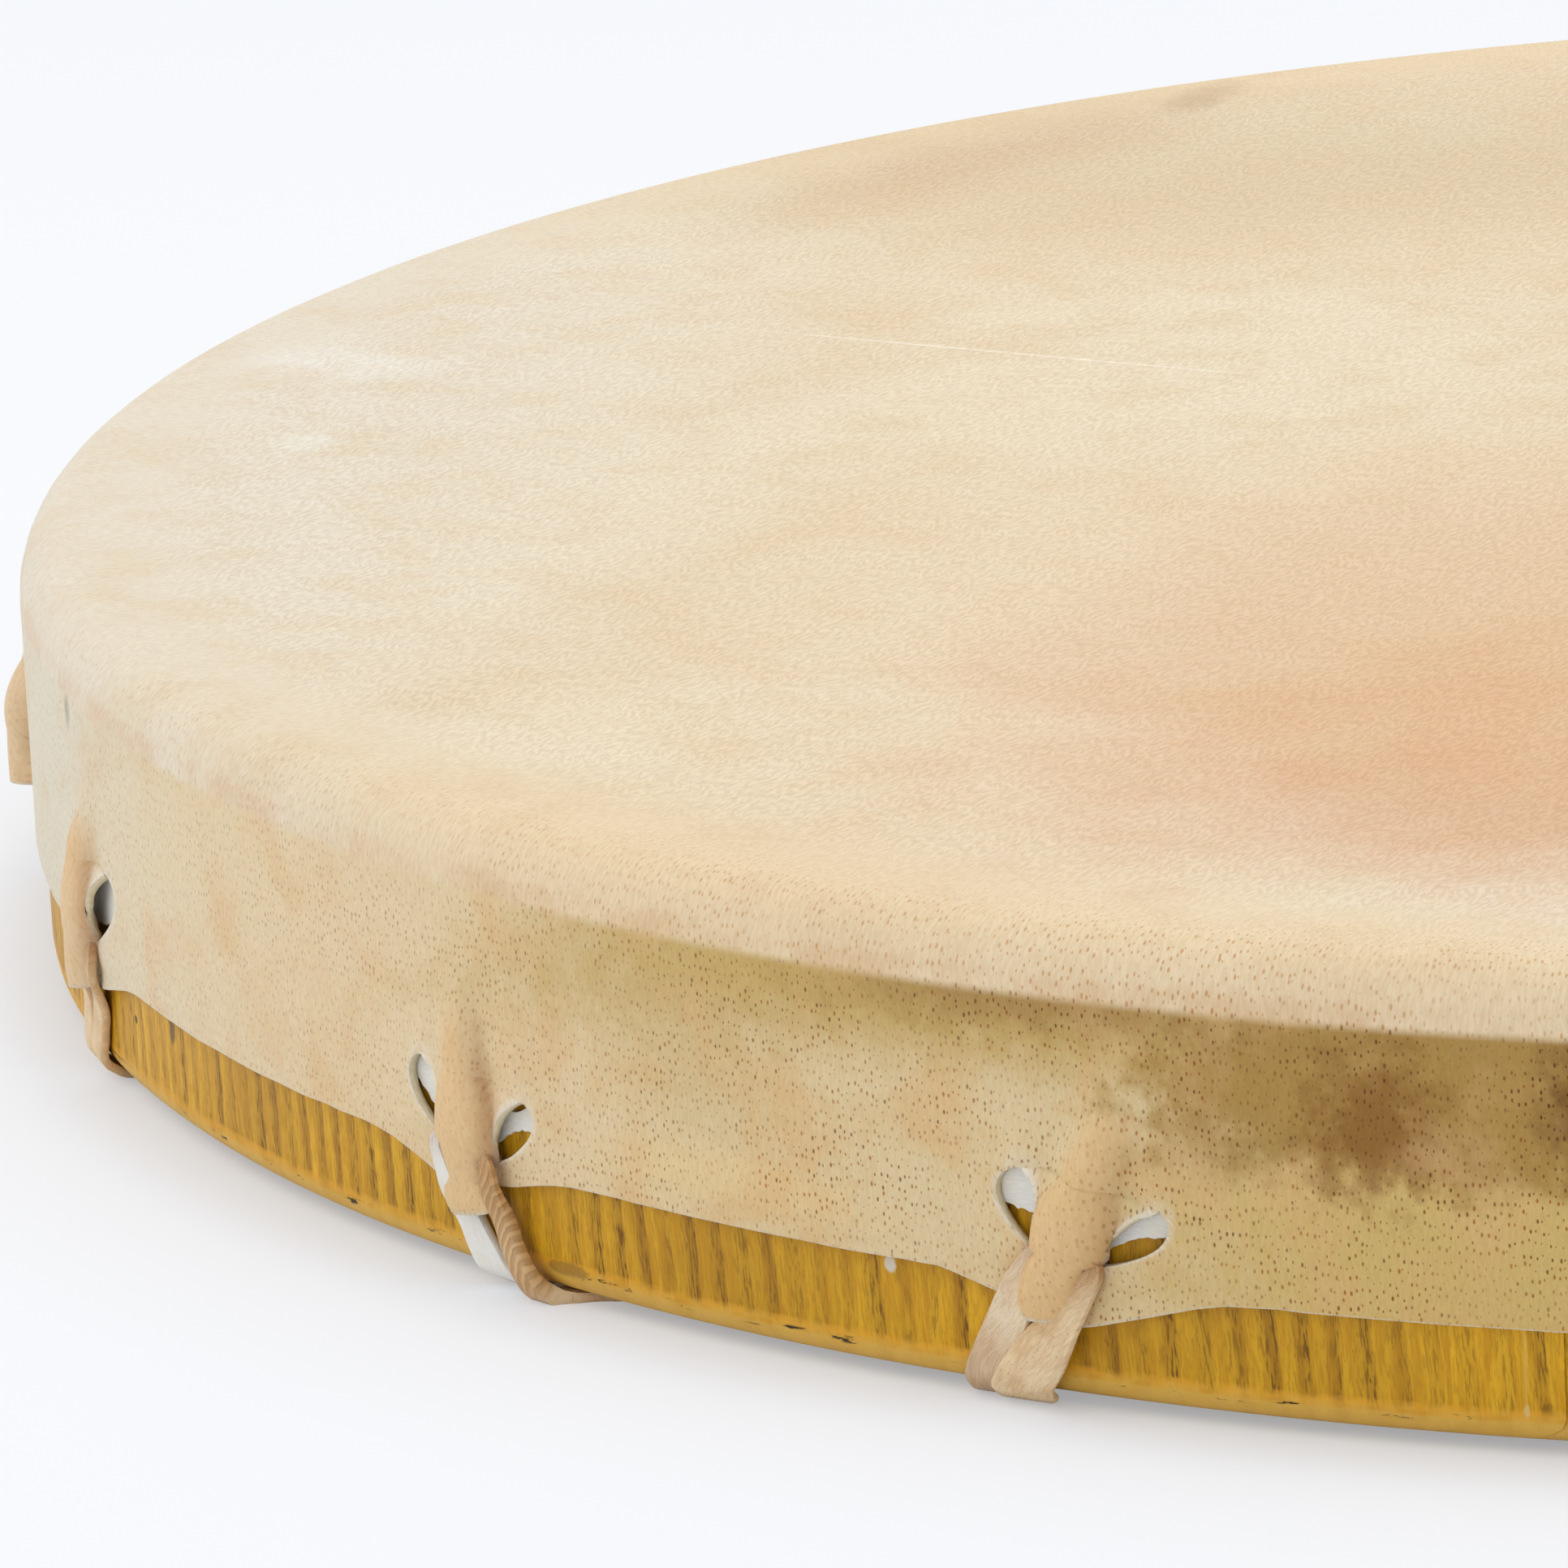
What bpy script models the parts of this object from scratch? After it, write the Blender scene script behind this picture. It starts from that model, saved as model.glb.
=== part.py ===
"""A shaman frame drum: a laminated hoop, a rawhide head laced round it, and a laced cross grip behind.

The drum lies on its open back, as it is put down between songs. All sizes are in metres, +Z is up
and the origin is on the ground under the middle of the hoop. Heights with no other word are
measured from the hoop's lower edge.
"""

import math

import bmesh
import bpy
from mathutils import Matrix, Vector

# Clearances
FIT_GAP = 0.0003  # air between two pieces that touch on the real drum
FLOOR_GAP = 0.0008  # air under the lowest piece of the grip

# The hoop, three plies bent round and glued
HOOP_RADIUS = 0.2490
HOOP_HEIGHT = 0.0488
PLY_THICKNESS = 0.0028
PLY_COUNT = 3
CROWN_WIDTH = 0.0052  # how far in the rounded playing edge reaches
CROWN_DROP = 0.0062  # how far down it reaches
FOOT_ROUND = 0.0030  # radius on both corners of the lower edge
INNER_ROUND = 0.0012  # radius on the inner corner of the upper edge
SEAM_GAP = 0.0004
SEAM_SLOPE = math.radians(20)  # each ply's ends meet in a long slanted cut
FIRST_SEAM = math.radians(-69.05)  # where the outer ply's ends meet
HOOP_STEPS = 64

# The rawhide head
SKIN = 0.0009
CROWN_TURNS = (20, 38, 56, 73, 90)  # degrees round the playing edge, one for each row of faces
HEM_HEIGHT = 0.0130  # the skirt's lower edge, midway between two lacing points
HEM_DIP = 0.0044  # how much lower it hangs beside a tongue
TONGUE_TIP = 0.0074  # the tongue's own lower edge
TONGUE_LIFT = 0.0040  # how far the pinched tongue stands off the hoop
FOLD_HEIGHT = 0.0280  # up to where the fold above a tongue is plain to see
SLIT_FOOT = 0.0150
SLIT_LENGTH = 0.0086
SLIT_WIDTH = 0.0053
PINCH = 0.0017  # half the tongue's width inside, where the lace pinches it
SPLAY = 0.0046  # how much wider that half is at the slits' upper ends

# The laces
LACE_WIDTH = 0.0044
LACE_THICKNESS = 0.0010
CRUMPLED_WIDTH = 0.0028  # where a lace squeezes through a slit
LANE_GAP = 0.0005

# The lacing points: four round each arm of the cross
ARM_COUNT = 4
INNER_POINT = math.radians(9.85)  # angle from the arm to its two inner lacing points
OUTER_POINT = math.radians(33.6)
INNER_LEAN = 0.50  # sideways run of a lace for each unit of its height on the wall
OUTER_LEAN = 0.15

# The cross grip
RING_RADIUS = 0.0210
RING_WIRE = 0.0040
GRIP_SETBACK = 0.0140  # from the middle of the ring's wire out to the wraps
GRIP_LENGTH = 0.0450
GRIP_WALL = 0.0016
KNOT_START = 0.1500
KNOT_END = 0.1600
KNOT_WALL = 0.0011
BUND_LENGTH = 0.0060  # how far beyond a binding its laces still run straight
LACE_TUCK = 0.0050  # how far inside the wrap's inner end a lace's cut ends lie

# Worked out from the sizes above
GROUND_TO_HOOP = LACE_THICKNESS + FIT_GAP
HOOP_TOP = GROUND_TO_HOOP + HOOP_HEIGHT
HOOP_WALL = PLY_COUNT * PLY_THICKNESS + (PLY_COUNT - 1) * FIT_GAP
UNDER_SKIN = FIT_GAP + LACE_THICKNESS / 2  # middle of a lace that lies on the hoop
OVER_SKIN = FIT_GAP + SKIN + FIT_GAP + LACE_THICKNESS / 2  # middle of a lace that lies on the skirt
LANE = LACE_WIDTH + LANE_GAP
LAYER = (LACE_THICKNESS + FIT_GAP) / 2  # half the step between the two layers of laces
BUNDLE = LACE_THICKNESS + FIT_GAP / 2
RING_BEND = RING_WIRE / 2 + 1.5 * FIT_GAP + LACE_THICKNESS / 2  # middle of a lace round the wire
GRIP_START = RING_RADIUS + GRIP_SETBACK
GRIP_END = GRIP_START + GRIP_LENGTH
LACE_END = GRIP_START + LACE_TUCK
GRIP_LEVEL = FLOOR_GAP + max(
    RING_BEND + LACE_THICKNESS / 2,
    BUNDLE + FIT_GAP + GRIP_WALL,
    LAYER + LACE_THICKNESS / 2 + FIT_GAP + KNOT_WALL,
)
SLIT_TOP = SLIT_FOOT + SLIT_LENGTH
BAND_HEIGHT = SLIT_FOOT + 0.6 * SLIT_LENGTH  # middle of the lace behind the tongue


def clear_scene():
    """Removes what the startup scene holds."""
    for old in list(bpy.data.objects):
        bpy.data.objects.remove(old)


def make_collection(name):
    """A new collection under the scene's own."""
    made = bpy.data.collections.new(name)
    bpy.context.scene.collection.children.link(made)
    return made


def make_material(name, colour, roughness, metallic=0.0):
    """A plain Principled material."""
    made = bpy.data.materials.new(name)
    made.use_nodes = True
    shader = made.node_tree.nodes["Principled BSDF"]
    shader.inputs["Base Color"].default_value = (*colour, 1.0)
    shader.inputs["Roughness"].default_value = roughness
    shader.inputs["Metallic"].default_value = metallic
    return made


def add_object(name, mesh, material, collection, smooth_angle=40):
    """A named object for a mesh, shaded smooth below the given angle in degrees."""
    if material is not None:
        mesh.materials.append(material)
    mesh.shade_smooth()
    mesh.set_sharp_from_angle(angle=math.radians(smooth_angle))
    made = bpy.data.objects.new(name, mesh)
    collection.objects.link(made)
    return made


def mesh_from(shape, name):
    """Writes a bmesh to a new mesh with its faces pointing out, and frees it."""
    bmesh.ops.recalc_face_normals(shape, faces=shape.faces)
    mesh = bpy.data.meshes.new(name)
    shape.to_mesh(mesh)
    shape.free()
    return mesh


def polar(radius, angle, height):
    """The point at a radius, an angle about the drum's axis and a height above the ground."""
    return Vector((radius * math.cos(angle), radius * math.sin(angle), height))


# The hoop


def hoop_underside(radius):
    """Height of the hoop's lower surface above the ground at a radius."""
    inside = HOOP_RADIUS - HOOP_WALL + FOOT_ROUND
    outside = HOOP_RADIUS - FOOT_ROUND
    reach = max(radius - outside, inside - radius, 0.0)
    reach = min(reach, FOOT_ROUND)
    return GROUND_TO_HOOP + FOOT_ROUND - math.sqrt(FOOT_ROUND**2 - reach**2)


def hoop_upside(radius):
    """Height of the hoop's upper surface above the ground at a radius."""
    crown = min(max((radius - HOOP_RADIUS) / CROWN_WIDTH + 1, 0.0), 1.0)
    inner = max(HOOP_RADIUS - HOOP_WALL + INNER_ROUND - radius, 0.0) / INNER_ROUND
    inner = min(inner, 1.0)
    drop = CROWN_DROP * (1 - math.sqrt(1 - crown**2))
    return HOOP_TOP - drop - INNER_ROUND * (1 - math.sqrt(1 - inner**2))


def ply_profile(inside, outside, rounded):
    """A ply's section, down its outer side, in along its lower edge and up its inner side."""
    count = 4 if rounded else 2
    # Cosine steps put the points where the rounded corners turn fastest.
    shares = [0.5 - 0.5 * math.cos(math.pi * i / (count - 1)) for i in range(count)]
    radii = [inside + (outside - inside) * share for share in shares]
    upper = [(radius, hoop_upside(radius)) for radius in radii]
    lower = [(radius, hoop_underside(radius)) for radius in reversed(radii)]
    return upper + lower


def make_ply(name, number, wood, parts, cutters):
    """One bent ply, as a turned ring with a slanted cut where its two ends meet."""
    outside = HOOP_RADIUS - number * (PLY_THICKNESS + FIT_GAP)
    inside = outside - PLY_THICKNESS
    edge_ply = number in (0, PLY_COUNT - 1)
    shape = bmesh.new()
    points = [shape.verts.new((r, 0, z)) for r, z in ply_profile(inside, outside, edge_ply)]
    for first, second in zip(points, points[1:] + points[:1]):
        shape.edges.new((first, second))
    mesh = bpy.data.meshes.new(name)
    shape.to_mesh(mesh)
    shape.free()
    ply = bpy.data.objects.new(name, mesh)
    mesh.materials.append(wood)
    parts.objects.link(ply)
    turn = ply.modifiers.new("turn", "SCREW")
    turn.steps = HOOP_STEPS
    turn.render_steps = HOOP_STEPS
    turn.use_merge_vertices = True
    turn.merge_threshold = 0.00005
    turn.use_smooth_shade = True

    seam = bpy.data.meshes.new(name + "_seam_cutter")
    box = bmesh.new()
    bmesh.ops.create_cube(box, size=1.0)
    length = 3 * PLY_THICKNESS / math.sin(SEAM_SLOPE)
    bmesh.ops.scale(box, vec=(length, SEAM_GAP, 2 * HOOP_HEIGHT), verts=box.verts)
    box.to_mesh(seam)
    box.free()
    cutter = bpy.data.objects.new(name + "_seam_cutter", seam)
    cutters.objects.link(cutter)
    angle = FIRST_SEAM + number * math.tau / PLY_COUNT
    cutter.location = polar((inside + outside) / 2, angle, GROUND_TO_HOOP + HOOP_HEIGHT / 2)
    cutter.rotation_euler = (0, 0, angle + math.pi / 2 - SEAM_SLOPE)
    cutter.hide_render = True
    cutter.display_type = "WIRE"
    cut = ply.modifiers.new("seam", "BOOLEAN")
    cut.operation = "DIFFERENCE"
    cut.solver = "EXACT"
    cut.object = cutter
    return ply


# The lacing points


def lacing_points():
    """Angle and lean of every lacing point, round the drum from the first arm."""
    found = []
    for arm in range(ARM_COUNT):
        middle = arm * math.tau / ARM_COUNT
        found += [
            (middle - OUTER_POINT, OUTER_LEAN),
            (middle - INNER_POINT, INNER_LEAN),
            (middle + INNER_POINT, -INNER_LEAN),
            (middle + OUTER_POINT, -OUTER_LEAN),
        ]
    return sorted((angle % math.tau, lean) for angle, lean in found)


def slit_sides(height):
    """Distances from a tongue's middle to the near and far side of its slit at a height."""
    share = min(max((height - SLIT_FOOT) / SLIT_LENGTH, 0.0), 1.0)
    near = PINCH + SPLAY * share**2
    # The slit is blunt below, where the lace fills it, widest a little above and round at the top.
    open_width = SLIT_WIDTH * (0.88 + 0.78 * share - 1.17 * share**2)
    return near, near + open_width


def fold_lift(height):
    """How far the middle and the sides of the tongue stand off the hoop at a height."""
    share = (height - SLIT_FOOT) / SLIT_LENGTH
    if share < 0:
        return TONGUE_LIFT * (0.80 + 0.20 * max(share, -1.0)), 0.0
    if share <= 1:
        middle = TONGUE_LIFT * (0.80 + 0.80 * share - 0.75 * share**2)
        side = TONGUE_LIFT * 1.9 * share * (1.06 - share)
        return middle, side
    fade = max(FOLD_HEIGHT * 1.5 - height, 0.0) / (FOLD_HEIGHT * 1.5 - SLIT_TOP)
    return TONGUE_LIFT * 0.85 * fade, TONGUE_LIFT * 0.11 * fade


def skirt_columns(angles, index):
    """Tangential places of the skirt's columns from one lacing point to half-way to the next."""
    here = angles[index]
    before = (here - angles[index - 1]) % math.tau / 2 * HOOP_RADIUS
    after = (angles[(index + 1) % len(angles)] - here) % math.tau / 2 * HOOP_RADIUS
    far = slit_sides(SLIT_FOOT)[1]
    left = [(-before + (before - far) * step / 3, None) for step in (1, 2)]
    right = [(after - (after - far) * step / 3, None) for step in (2, 1, 0)]
    middle = [(0.0, tag) for tag in ("far", "near", "half", "middle", "half", "near", "far")]
    signs = [-1, -1, -1, 0, 1, 1, 1]
    places = [(place, tag, sign) for (place, tag), sign in zip(middle, signs)]
    return [(p, t, 0) for p, t in left] + places + [(p, t, 0) for p, t in right]


def skirt_point(angle, lean, column, height, hem):
    """A point of the skirt's inner surface; hem marks its lower edge."""
    place, tag, sign = column
    near, far = slit_sides(max(height, SLIT_FOOT))
    middle_lift, side_lift = fold_lift(height)
    away = {"far": far, "near": near, "half": near * 0.55, "middle": 0.0}.get(tag)
    lift = {"near": side_lift, "half": middle_lift * 0.72 + side_lift * 0.28, "middle": middle_lift}
    if away is not None:
        place = sign * away
    if hem:
        drop = {"middle": HEM_HEIGHT - TONGUE_TIP, "half": HEM_HEIGHT - TONGUE_TIP - 0.0005}
        drop["near"] = HEM_DIP + 0.0003
        drop["far"] = HEM_DIP
        slope = max(1 - abs(place) / (6 * SLIT_WIDTH), 0.0) ** 2
        height = HEM_HEIGHT - drop.get(tag, HEM_DIP * slope)
    shift = lean * (SLIT_FOOT - min(height, SLIT_TOP))
    fade = 1.0 if tag else max(1 - abs(place) / (6 * SLIT_WIDTH), 0.0) * 0.6
    radius = HOOP_RADIUS + FIT_GAP + lift.get(tag, 0.0)
    turned = angle + (place + shift * fade) / HOOP_RADIUS
    return polar(radius, turned, GROUND_TO_HOOP + height)


def crown_skin(shape, crease, tags):
    """The skin's rounded edge and flat top, on every column of the crease that isn't a fold's."""
    kept = [i for i, tag in enumerate(tags) if tag not in ("near", "half")]
    below = crease
    places = [math.atan2(crease[i].co.y, crease[i].co.x) for i in kept]
    for turn in CROWN_TURNS:
        # The rounded edge is the hoop's own, larger by the gap.
        reach = (CROWN_WIDTH + FIT_GAP) * math.cos(math.radians(turn))
        rise = (CROWN_DROP + FIT_GAP) * math.sin(math.radians(turn))
        radius = HOOP_RADIUS - CROWN_WIDTH + reach
        height = HOOP_TOP - CROWN_DROP + rise
        above = [shape.verts.new(polar(radius, place, height)) for place in places]
        for left in range(len(kept)):
            right = (left + 1) % len(kept)
            first, last = (kept[left], kept[right]) if below is crease else (left, right)
            span = (last - first) % len(below)
            edge = [below[(first + step) % len(below)] for step in range(span + 1)]
            shape.faces.new(edge + [above[right], above[left]])
        below = above
    shape.faces.new(below)


def make_drumhead(hide, parts):
    """The skin: a flat top, a rounded edge and a skirt, with two slits at each lacing point."""
    points = lacing_points()
    angles = [angle for angle, lean in points]
    columns = []
    for index, (angle, lean) in enumerate(points):
        columns += [(angle, lean, column) for column in skirt_columns(angles, index)]
    inner_slit = [SLIT_FOOT + SLIT_LENGTH * share for share in (0.0, 0.33, 0.66, 1.0)]
    crease = HOOP_HEIGHT - CROWN_DROP
    heights = [HEM_HEIGHT] + inner_slit + [FOLD_HEIGHT + 0.001, crease]
    shape = bmesh.new()
    rows = []
    for number, height in enumerate(heights):
        rows.append(
            [
                shape.verts.new(skirt_point(angle, lean, column, height, number == 0))
                for angle, lean, column in columns
            ]
        )
    total = len(columns)
    slit_rows = range(1, len(inner_slit))
    for row in range(len(rows) - 1):
        for left in range(total):
            right = (left + 1) % total
            tags = {columns[left][2][1], columns[right][2][1]}
            if row in slit_rows and tags == {"far", "near"}:
                continue
            corners = (rows[row][left], rows[row][right], rows[row + 1][right], rows[row + 1][left])
            shape.faces.new(corners)
    crown_skin(shape, rows[-1], [column[1] for angle, lean, column in columns])
    head = add_object("drumhead", mesh_from(shape, "drumhead"), hide, parts)
    wall = head.modifiers.new("skin", "SOLIDIFY")
    wall.thickness = SKIN
    wall.offset = 1.0
    wall.use_even_offset = False
    return head


# The laces


def level_section(middle, face, turned, width, lean):
    """A section of a leaning lace cut level, so that it wraps the hoop without a twist."""
    across = polar(width * math.hypot(1.0, lean), turned + math.pi / 2, 0.0)
    return middle, face, across


def wall_section(angle, lean, side, place, height, lift, width):
    """One section of a lace on the hoop's wall."""
    shift = lean * (SLIT_FOOT - height)
    turned = angle + (side * place + shift) / HOOP_RADIUS
    middle = polar(HOOP_RADIUS + lift, turned, GROUND_TO_HOOP + height)
    return middle, polar(1.0, turned, 0.0), width


def half_loop(angle, lean, side):
    """A lace from behind a tongue, out through one slit and down round the hoop's lower edge."""
    strand = PINCH + SKIN + 2 * FIT_GAP + CRUMPLED_WIDTH / 2
    beside = strand + (LACE_WIDTH - CRUMPLED_WIDTH) / 4
    hem = HEM_HEIGHT - HEM_DIP
    below = TONGUE_TIP - 0.0017
    behind = [
        (0.0020, BAND_HEIGHT, UNDER_SKIN, CRUMPLED_WIDTH + 0.0005),
        (0.0038, BAND_HEIGHT - 0.0009, UNDER_SKIN, CRUMPLED_WIDTH),
        (strand, BAND_HEIGHT - 0.0026, UNDER_SKIN + 0.3 * SKIN, CRUMPLED_WIDTH),
    ]
    outside = [
        (strand, SLIT_FOOT + 0.0002, OVER_SKIN, CRUMPLED_WIDTH),
        (beside, hem - 0.0006, OVER_SKIN, LACE_WIDTH - 0.0008),
        (beside - 0.0004, below, UNDER_SKIN, LACE_WIDTH - 0.0004),
    ]
    path = [wall_section(angle, lean, side, *sizes) for sizes in behind]
    for place, height, lift, width in outside:
        middle, face, _ = wall_section(angle, lean, side, place, height, lift, width)
        turned = math.atan2(face.y, face.x)
        path.append(level_section(middle, face, turned, width, lean))
    bend = FOOT_ROUND + UNDER_SKIN
    foot = LANE / 2
    for turn in (0, 30, 60, 90):
        swing = math.radians(turn)
        run = bend * swing
        inward = bend * math.cos(swing) - FOOT_ROUND
        height = FOOT_ROUND - bend * math.sin(swing)
        sideways = side * foot + lean * (SLIT_FOOT - FOOT_ROUND + run)
        turned = angle + sideways / HOOP_RADIUS
        middle = polar(HOOP_RADIUS + inward, turned, GROUND_TO_HOOP + height)
        face = polar(math.cos(swing), turned, -math.sin(swing))
        path.append(level_section(middle, face, turned, LACE_WIDTH, lean))
    run = bend * math.pi / 2 + HOOP_WALL - 2 * FOOT_ROUND
    turned = angle + (side * foot + lean * (SLIT_FOOT - FOOT_ROUND + run)) / HOOP_RADIUS
    middle = polar(HOOP_RADIUS - HOOP_WALL + FOOT_ROUND, turned, LACE_THICKNESS / 2)
    path.append(level_section(middle, Vector((0, 0, -1)), turned, LACE_WIDTH, lean))
    return path


def lace_loop(angle, lean):
    """A lace up over the hoop's lower edge, behind the tongue and down again, as sections."""
    left = half_loop(angle, lean, -1)
    right = half_loop(angle, lean, 1)
    middle = wall_section(angle, lean, 0, 0.0, BAND_HEIGHT, UNDER_SKIN, CRUMPLED_WIDTH + 0.0006)
    return left[::-1] + [middle] + right


def on_arm(arm, along, across, height):
    """The point on an arm of the cross, along it from the axis and across it."""
    turned = Matrix.Rotation(arm * math.tau / ARM_COUNT, 3, "Z")
    return turned @ Vector((along, across, height))


def lane_sections(arm, side, lane, upper, from_point, end):
    """Sections of a lace along an arm, from where it joins the bundle to its inner end."""
    level = GRIP_LEVEL + (LAYER if upper else -LAYER)
    across = side * lane * LANE
    join = (GRIP_END if upper else KNOT_END) + BUND_LENGTH
    start = Matrix.Rotation(-arm * math.tau / ARM_COUNT, 3, "Z") @ from_point
    turn = abs(math.atan2(start.y - across, start.x - join))
    # The laces of one lacing point bend in step, so that they stay side by side.
    join += (1.5 - lane) * LANE * math.tan(turn / 2)
    down = Vector((0, 0, -1))
    bend = on_arm(arm, join, across, level)
    near = bend + (Vector((*from_point.xy, level)) - bend).normalized() * 2 * LANE
    sections = [(near, down, LACE_WIDTH), (bend, down, LACE_WIDTH)]
    sections.append((on_arm(arm, end, across, level), down, LACE_WIDTH))
    return sections


def ring_turn(arm, side):
    """A lace over the ring, round its wire and back below it."""
    across = side * LANE / 2
    place = arm * math.tau / ARM_COUNT + math.asin(across / (RING_RADIUS - RING_BEND))
    sections = []
    for turn in range(68, 293, 28):
        swing = math.radians(turn)
        reach = RING_RADIUS + RING_BEND * math.cos(swing)
        middle = polar(reach, place, GRIP_LEVEL + RING_BEND * math.sin(swing))
        face = polar(-math.cos(swing), place, -math.sin(swing))
        sections.append((middle, face, LACE_WIDTH))
    return sections


def lace_sections(arm, side):
    """All the sections of one lace: an outer lacing point, round the ring, an inner one."""
    middle = arm * math.tau / ARM_COUNT
    outer = lace_loop(middle + side * OUTER_POINT, -side * OUTER_LEAN)
    inner = lace_loop(middle + side * INNER_POINT, -side * INNER_LEAN)
    if side > 0:
        # Each loop starts at its far side and ends next to the arm.
        outer.reverse()
        inner.reverse()
    cut_end = lane_sections(arm, side, 1.5, True, outer[0][0], LACE_END)
    to_ring = lane_sections(arm, side, 0.5, True, outer[-1][0], GRIP_START - 0.001)
    from_ring = lane_sections(arm, side, 0.5, False, inner[-1][0], GRIP_START - 0.001)
    last_end = lane_sections(arm, side, 1.5, False, inner[0][0], LACE_END)
    first = cut_end[::-1] + outer + to_ring
    second = from_ring[::-1] + inner[::-1] + last_end
    # The wire turns the lace over, so its face points the other way from there on.
    second = [(place, -face, width) for place, face, width in second]
    return first + ring_turn(arm, side) + second


def make_lace(name, arm, side, hide, parts):
    """A flat lace, lofted through its sections because its width and twist change."""
    sections = lace_sections(arm, side)
    shape = bmesh.new()
    loops = []
    for index, (middle, face, width) in enumerate(sections):
        before = sections[max(index - 1, 0)][0]
        after = sections[min(index + 1, len(sections) - 1)][0]
        along = (after - before).normalized()
        square = along.cross(face).normalized()
        if isinstance(width, Vector):
            # A level section says which way it lies, and only its sign follows the path.
            half = width / 2 if width.dot(square) > 0 else -width / 2
        else:
            half = square * width / 2
            face = square.cross(along).normalized()
        thick = face * LACE_THICKNESS / 2
        corners = (middle - half - thick, middle + half - thick, middle + half + thick, middle - half + thick)
        loops.append([shape.verts.new(corner) for corner in corners])
    for first, second in zip(loops, loops[1:]):
        for here in range(4):
            there = (here + 1) % 4
            shape.faces.new((first[here], first[there], second[there], second[here]))
    shape.faces.new(loops[0][::-1])
    shape.faces.new(loops[-1])
    return add_object(name, mesh_from(shape, name), hide, parts, smooth_angle=30)


# The cross grip


def make_ring(steel, parts):
    """The ring that the four arms pull against."""
    bpy.ops.mesh.primitive_torus_add(
        major_radius=RING_RADIUS,
        minor_radius=RING_WIRE / 2,
        major_segments=32,
        minor_segments=10,
        location=(0, 0, GRIP_LEVEL),
    )
    ring = bpy.context.object
    ring.name = "grip_ring"
    ring.data.materials.append(steel)
    ring.data.shade_smooth()
    for collection in list(ring.users_collection):
        collection.objects.unlink(ring)
    parts.objects.link(ring)
    return ring


def make_binding(name, arm, start, end, wall, layers, leather, parts):
    """A leather binding round a flat bundle of four laces side by side, in one or two layers."""
    half_width = 1.5 * LANE + LACE_WIDTH / 2 + FIT_GAP
    half_depth = (BUNDLE if layers == 2 else LACE_THICKNESS / 2) + FIT_GAP
    level = GRIP_LEVEL - (0.0 if layers == 2 else LAYER)
    corner = 1.2 * FIT_GAP
    shape = bmesh.new()
    outline = []
    for turn, (way, up) in zip((0, 90, 180, 270), ((1, 1), (-1, 1), (-1, -1), (1, -1))):
        for part in (0, 45, 90):
            swing = math.radians(turn + part)
            across = way * (half_width - corner) + corner * math.cos(swing)
            height = up * (half_depth - corner) + corner * math.sin(swing)
            outline.append(shape.verts.new((start, across, level + height)))
    edges = [shape.edges.new(pair) for pair in zip(outline, outline[1:] + outline[:1])]
    drawn = bmesh.ops.extrude_edge_only(shape, edges=edges)["geom"]
    moved = [item for item in drawn if isinstance(item, bmesh.types.BMVert)]
    bmesh.ops.translate(shape, verts=moved, vec=(end - start, 0, 0))
    bmesh.ops.rotate(
        shape,
        verts=shape.verts,
        cent=(0, 0, 0),
        matrix=Matrix.Rotation(arm * math.tau / ARM_COUNT, 3, "Z"),
    )
    made = add_object(name, mesh_from(shape, name), leather, parts)
    thick = made.modifiers.new("wall", "SOLIDIFY")
    thick.thickness = wall
    thick.offset = 1.0
    thick.use_even_offset = True
    return made


def build():
    """Makes the whole drum."""
    clear_scene()
    parts = make_collection("shaman_drum")
    cutters = make_collection("cutters")
    ash = make_material("stained_ash", (0.52, 0.33, 0.07), 0.5)
    core = make_material("poplar_core", (0.62, 0.42, 0.16), 0.6)
    goat = make_material("goat_rawhide", (0.80, 0.66, 0.45), 0.5)
    lace = make_material("rawhide_lace", (0.74, 0.58, 0.38), 0.55)
    suede = make_material("suede_binding", (0.42, 0.26, 0.14), 0.85)
    steel = make_material("ring_steel", (0.62, 0.60, 0.56), 0.35, metallic=1.0)

    plies = {"hoop_outer_ply": ash, "hoop_core_ply": core, "hoop_inner_ply": ash}
    for number, (name, wood) in enumerate(plies.items()):
        make_ply(name, number, wood, parts, cutters)
    make_drumhead(goat, parts)
    for arm in range(ARM_COUNT):
        for side, word in ((-1, "left"), (1, "right")):
            make_lace(f"lace_{arm + 1}_{word}", arm, side, lace, parts)
    make_ring(steel, parts)
    for arm in range(ARM_COUNT):
        make_binding(f"grip_wrap_{arm + 1}", arm, GRIP_START, GRIP_END, GRIP_WALL, 2, suede, parts)
        make_binding(f"arm_tie_{arm + 1}", arm, KNOT_START, KNOT_END, KNOT_WALL, 1, suede, parts)


build()
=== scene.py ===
"""Dresses the shaman frame drum: its veneered hoop, its laced goat skin and the cross grip behind.

Sizes are in metres in the drum's own frame: +Z is up, the origin is on the ground under the middle
of the hoop, and the four arms of the cross run along +X, +Y, -X and -Y. A height above the hoop is
measured from the hoop's lower edge. At a lacing point, a place is a distance round the hoop from
the tongue's middle, to the right when the drum is seen from outside.
"""

import logging
import math
from dataclasses import dataclass
from enum import Enum
from random import Random
from typing import Optional, Sequence, Union

import bmesh
import bpy
from mathutils import Matrix, Vector, noise

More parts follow.
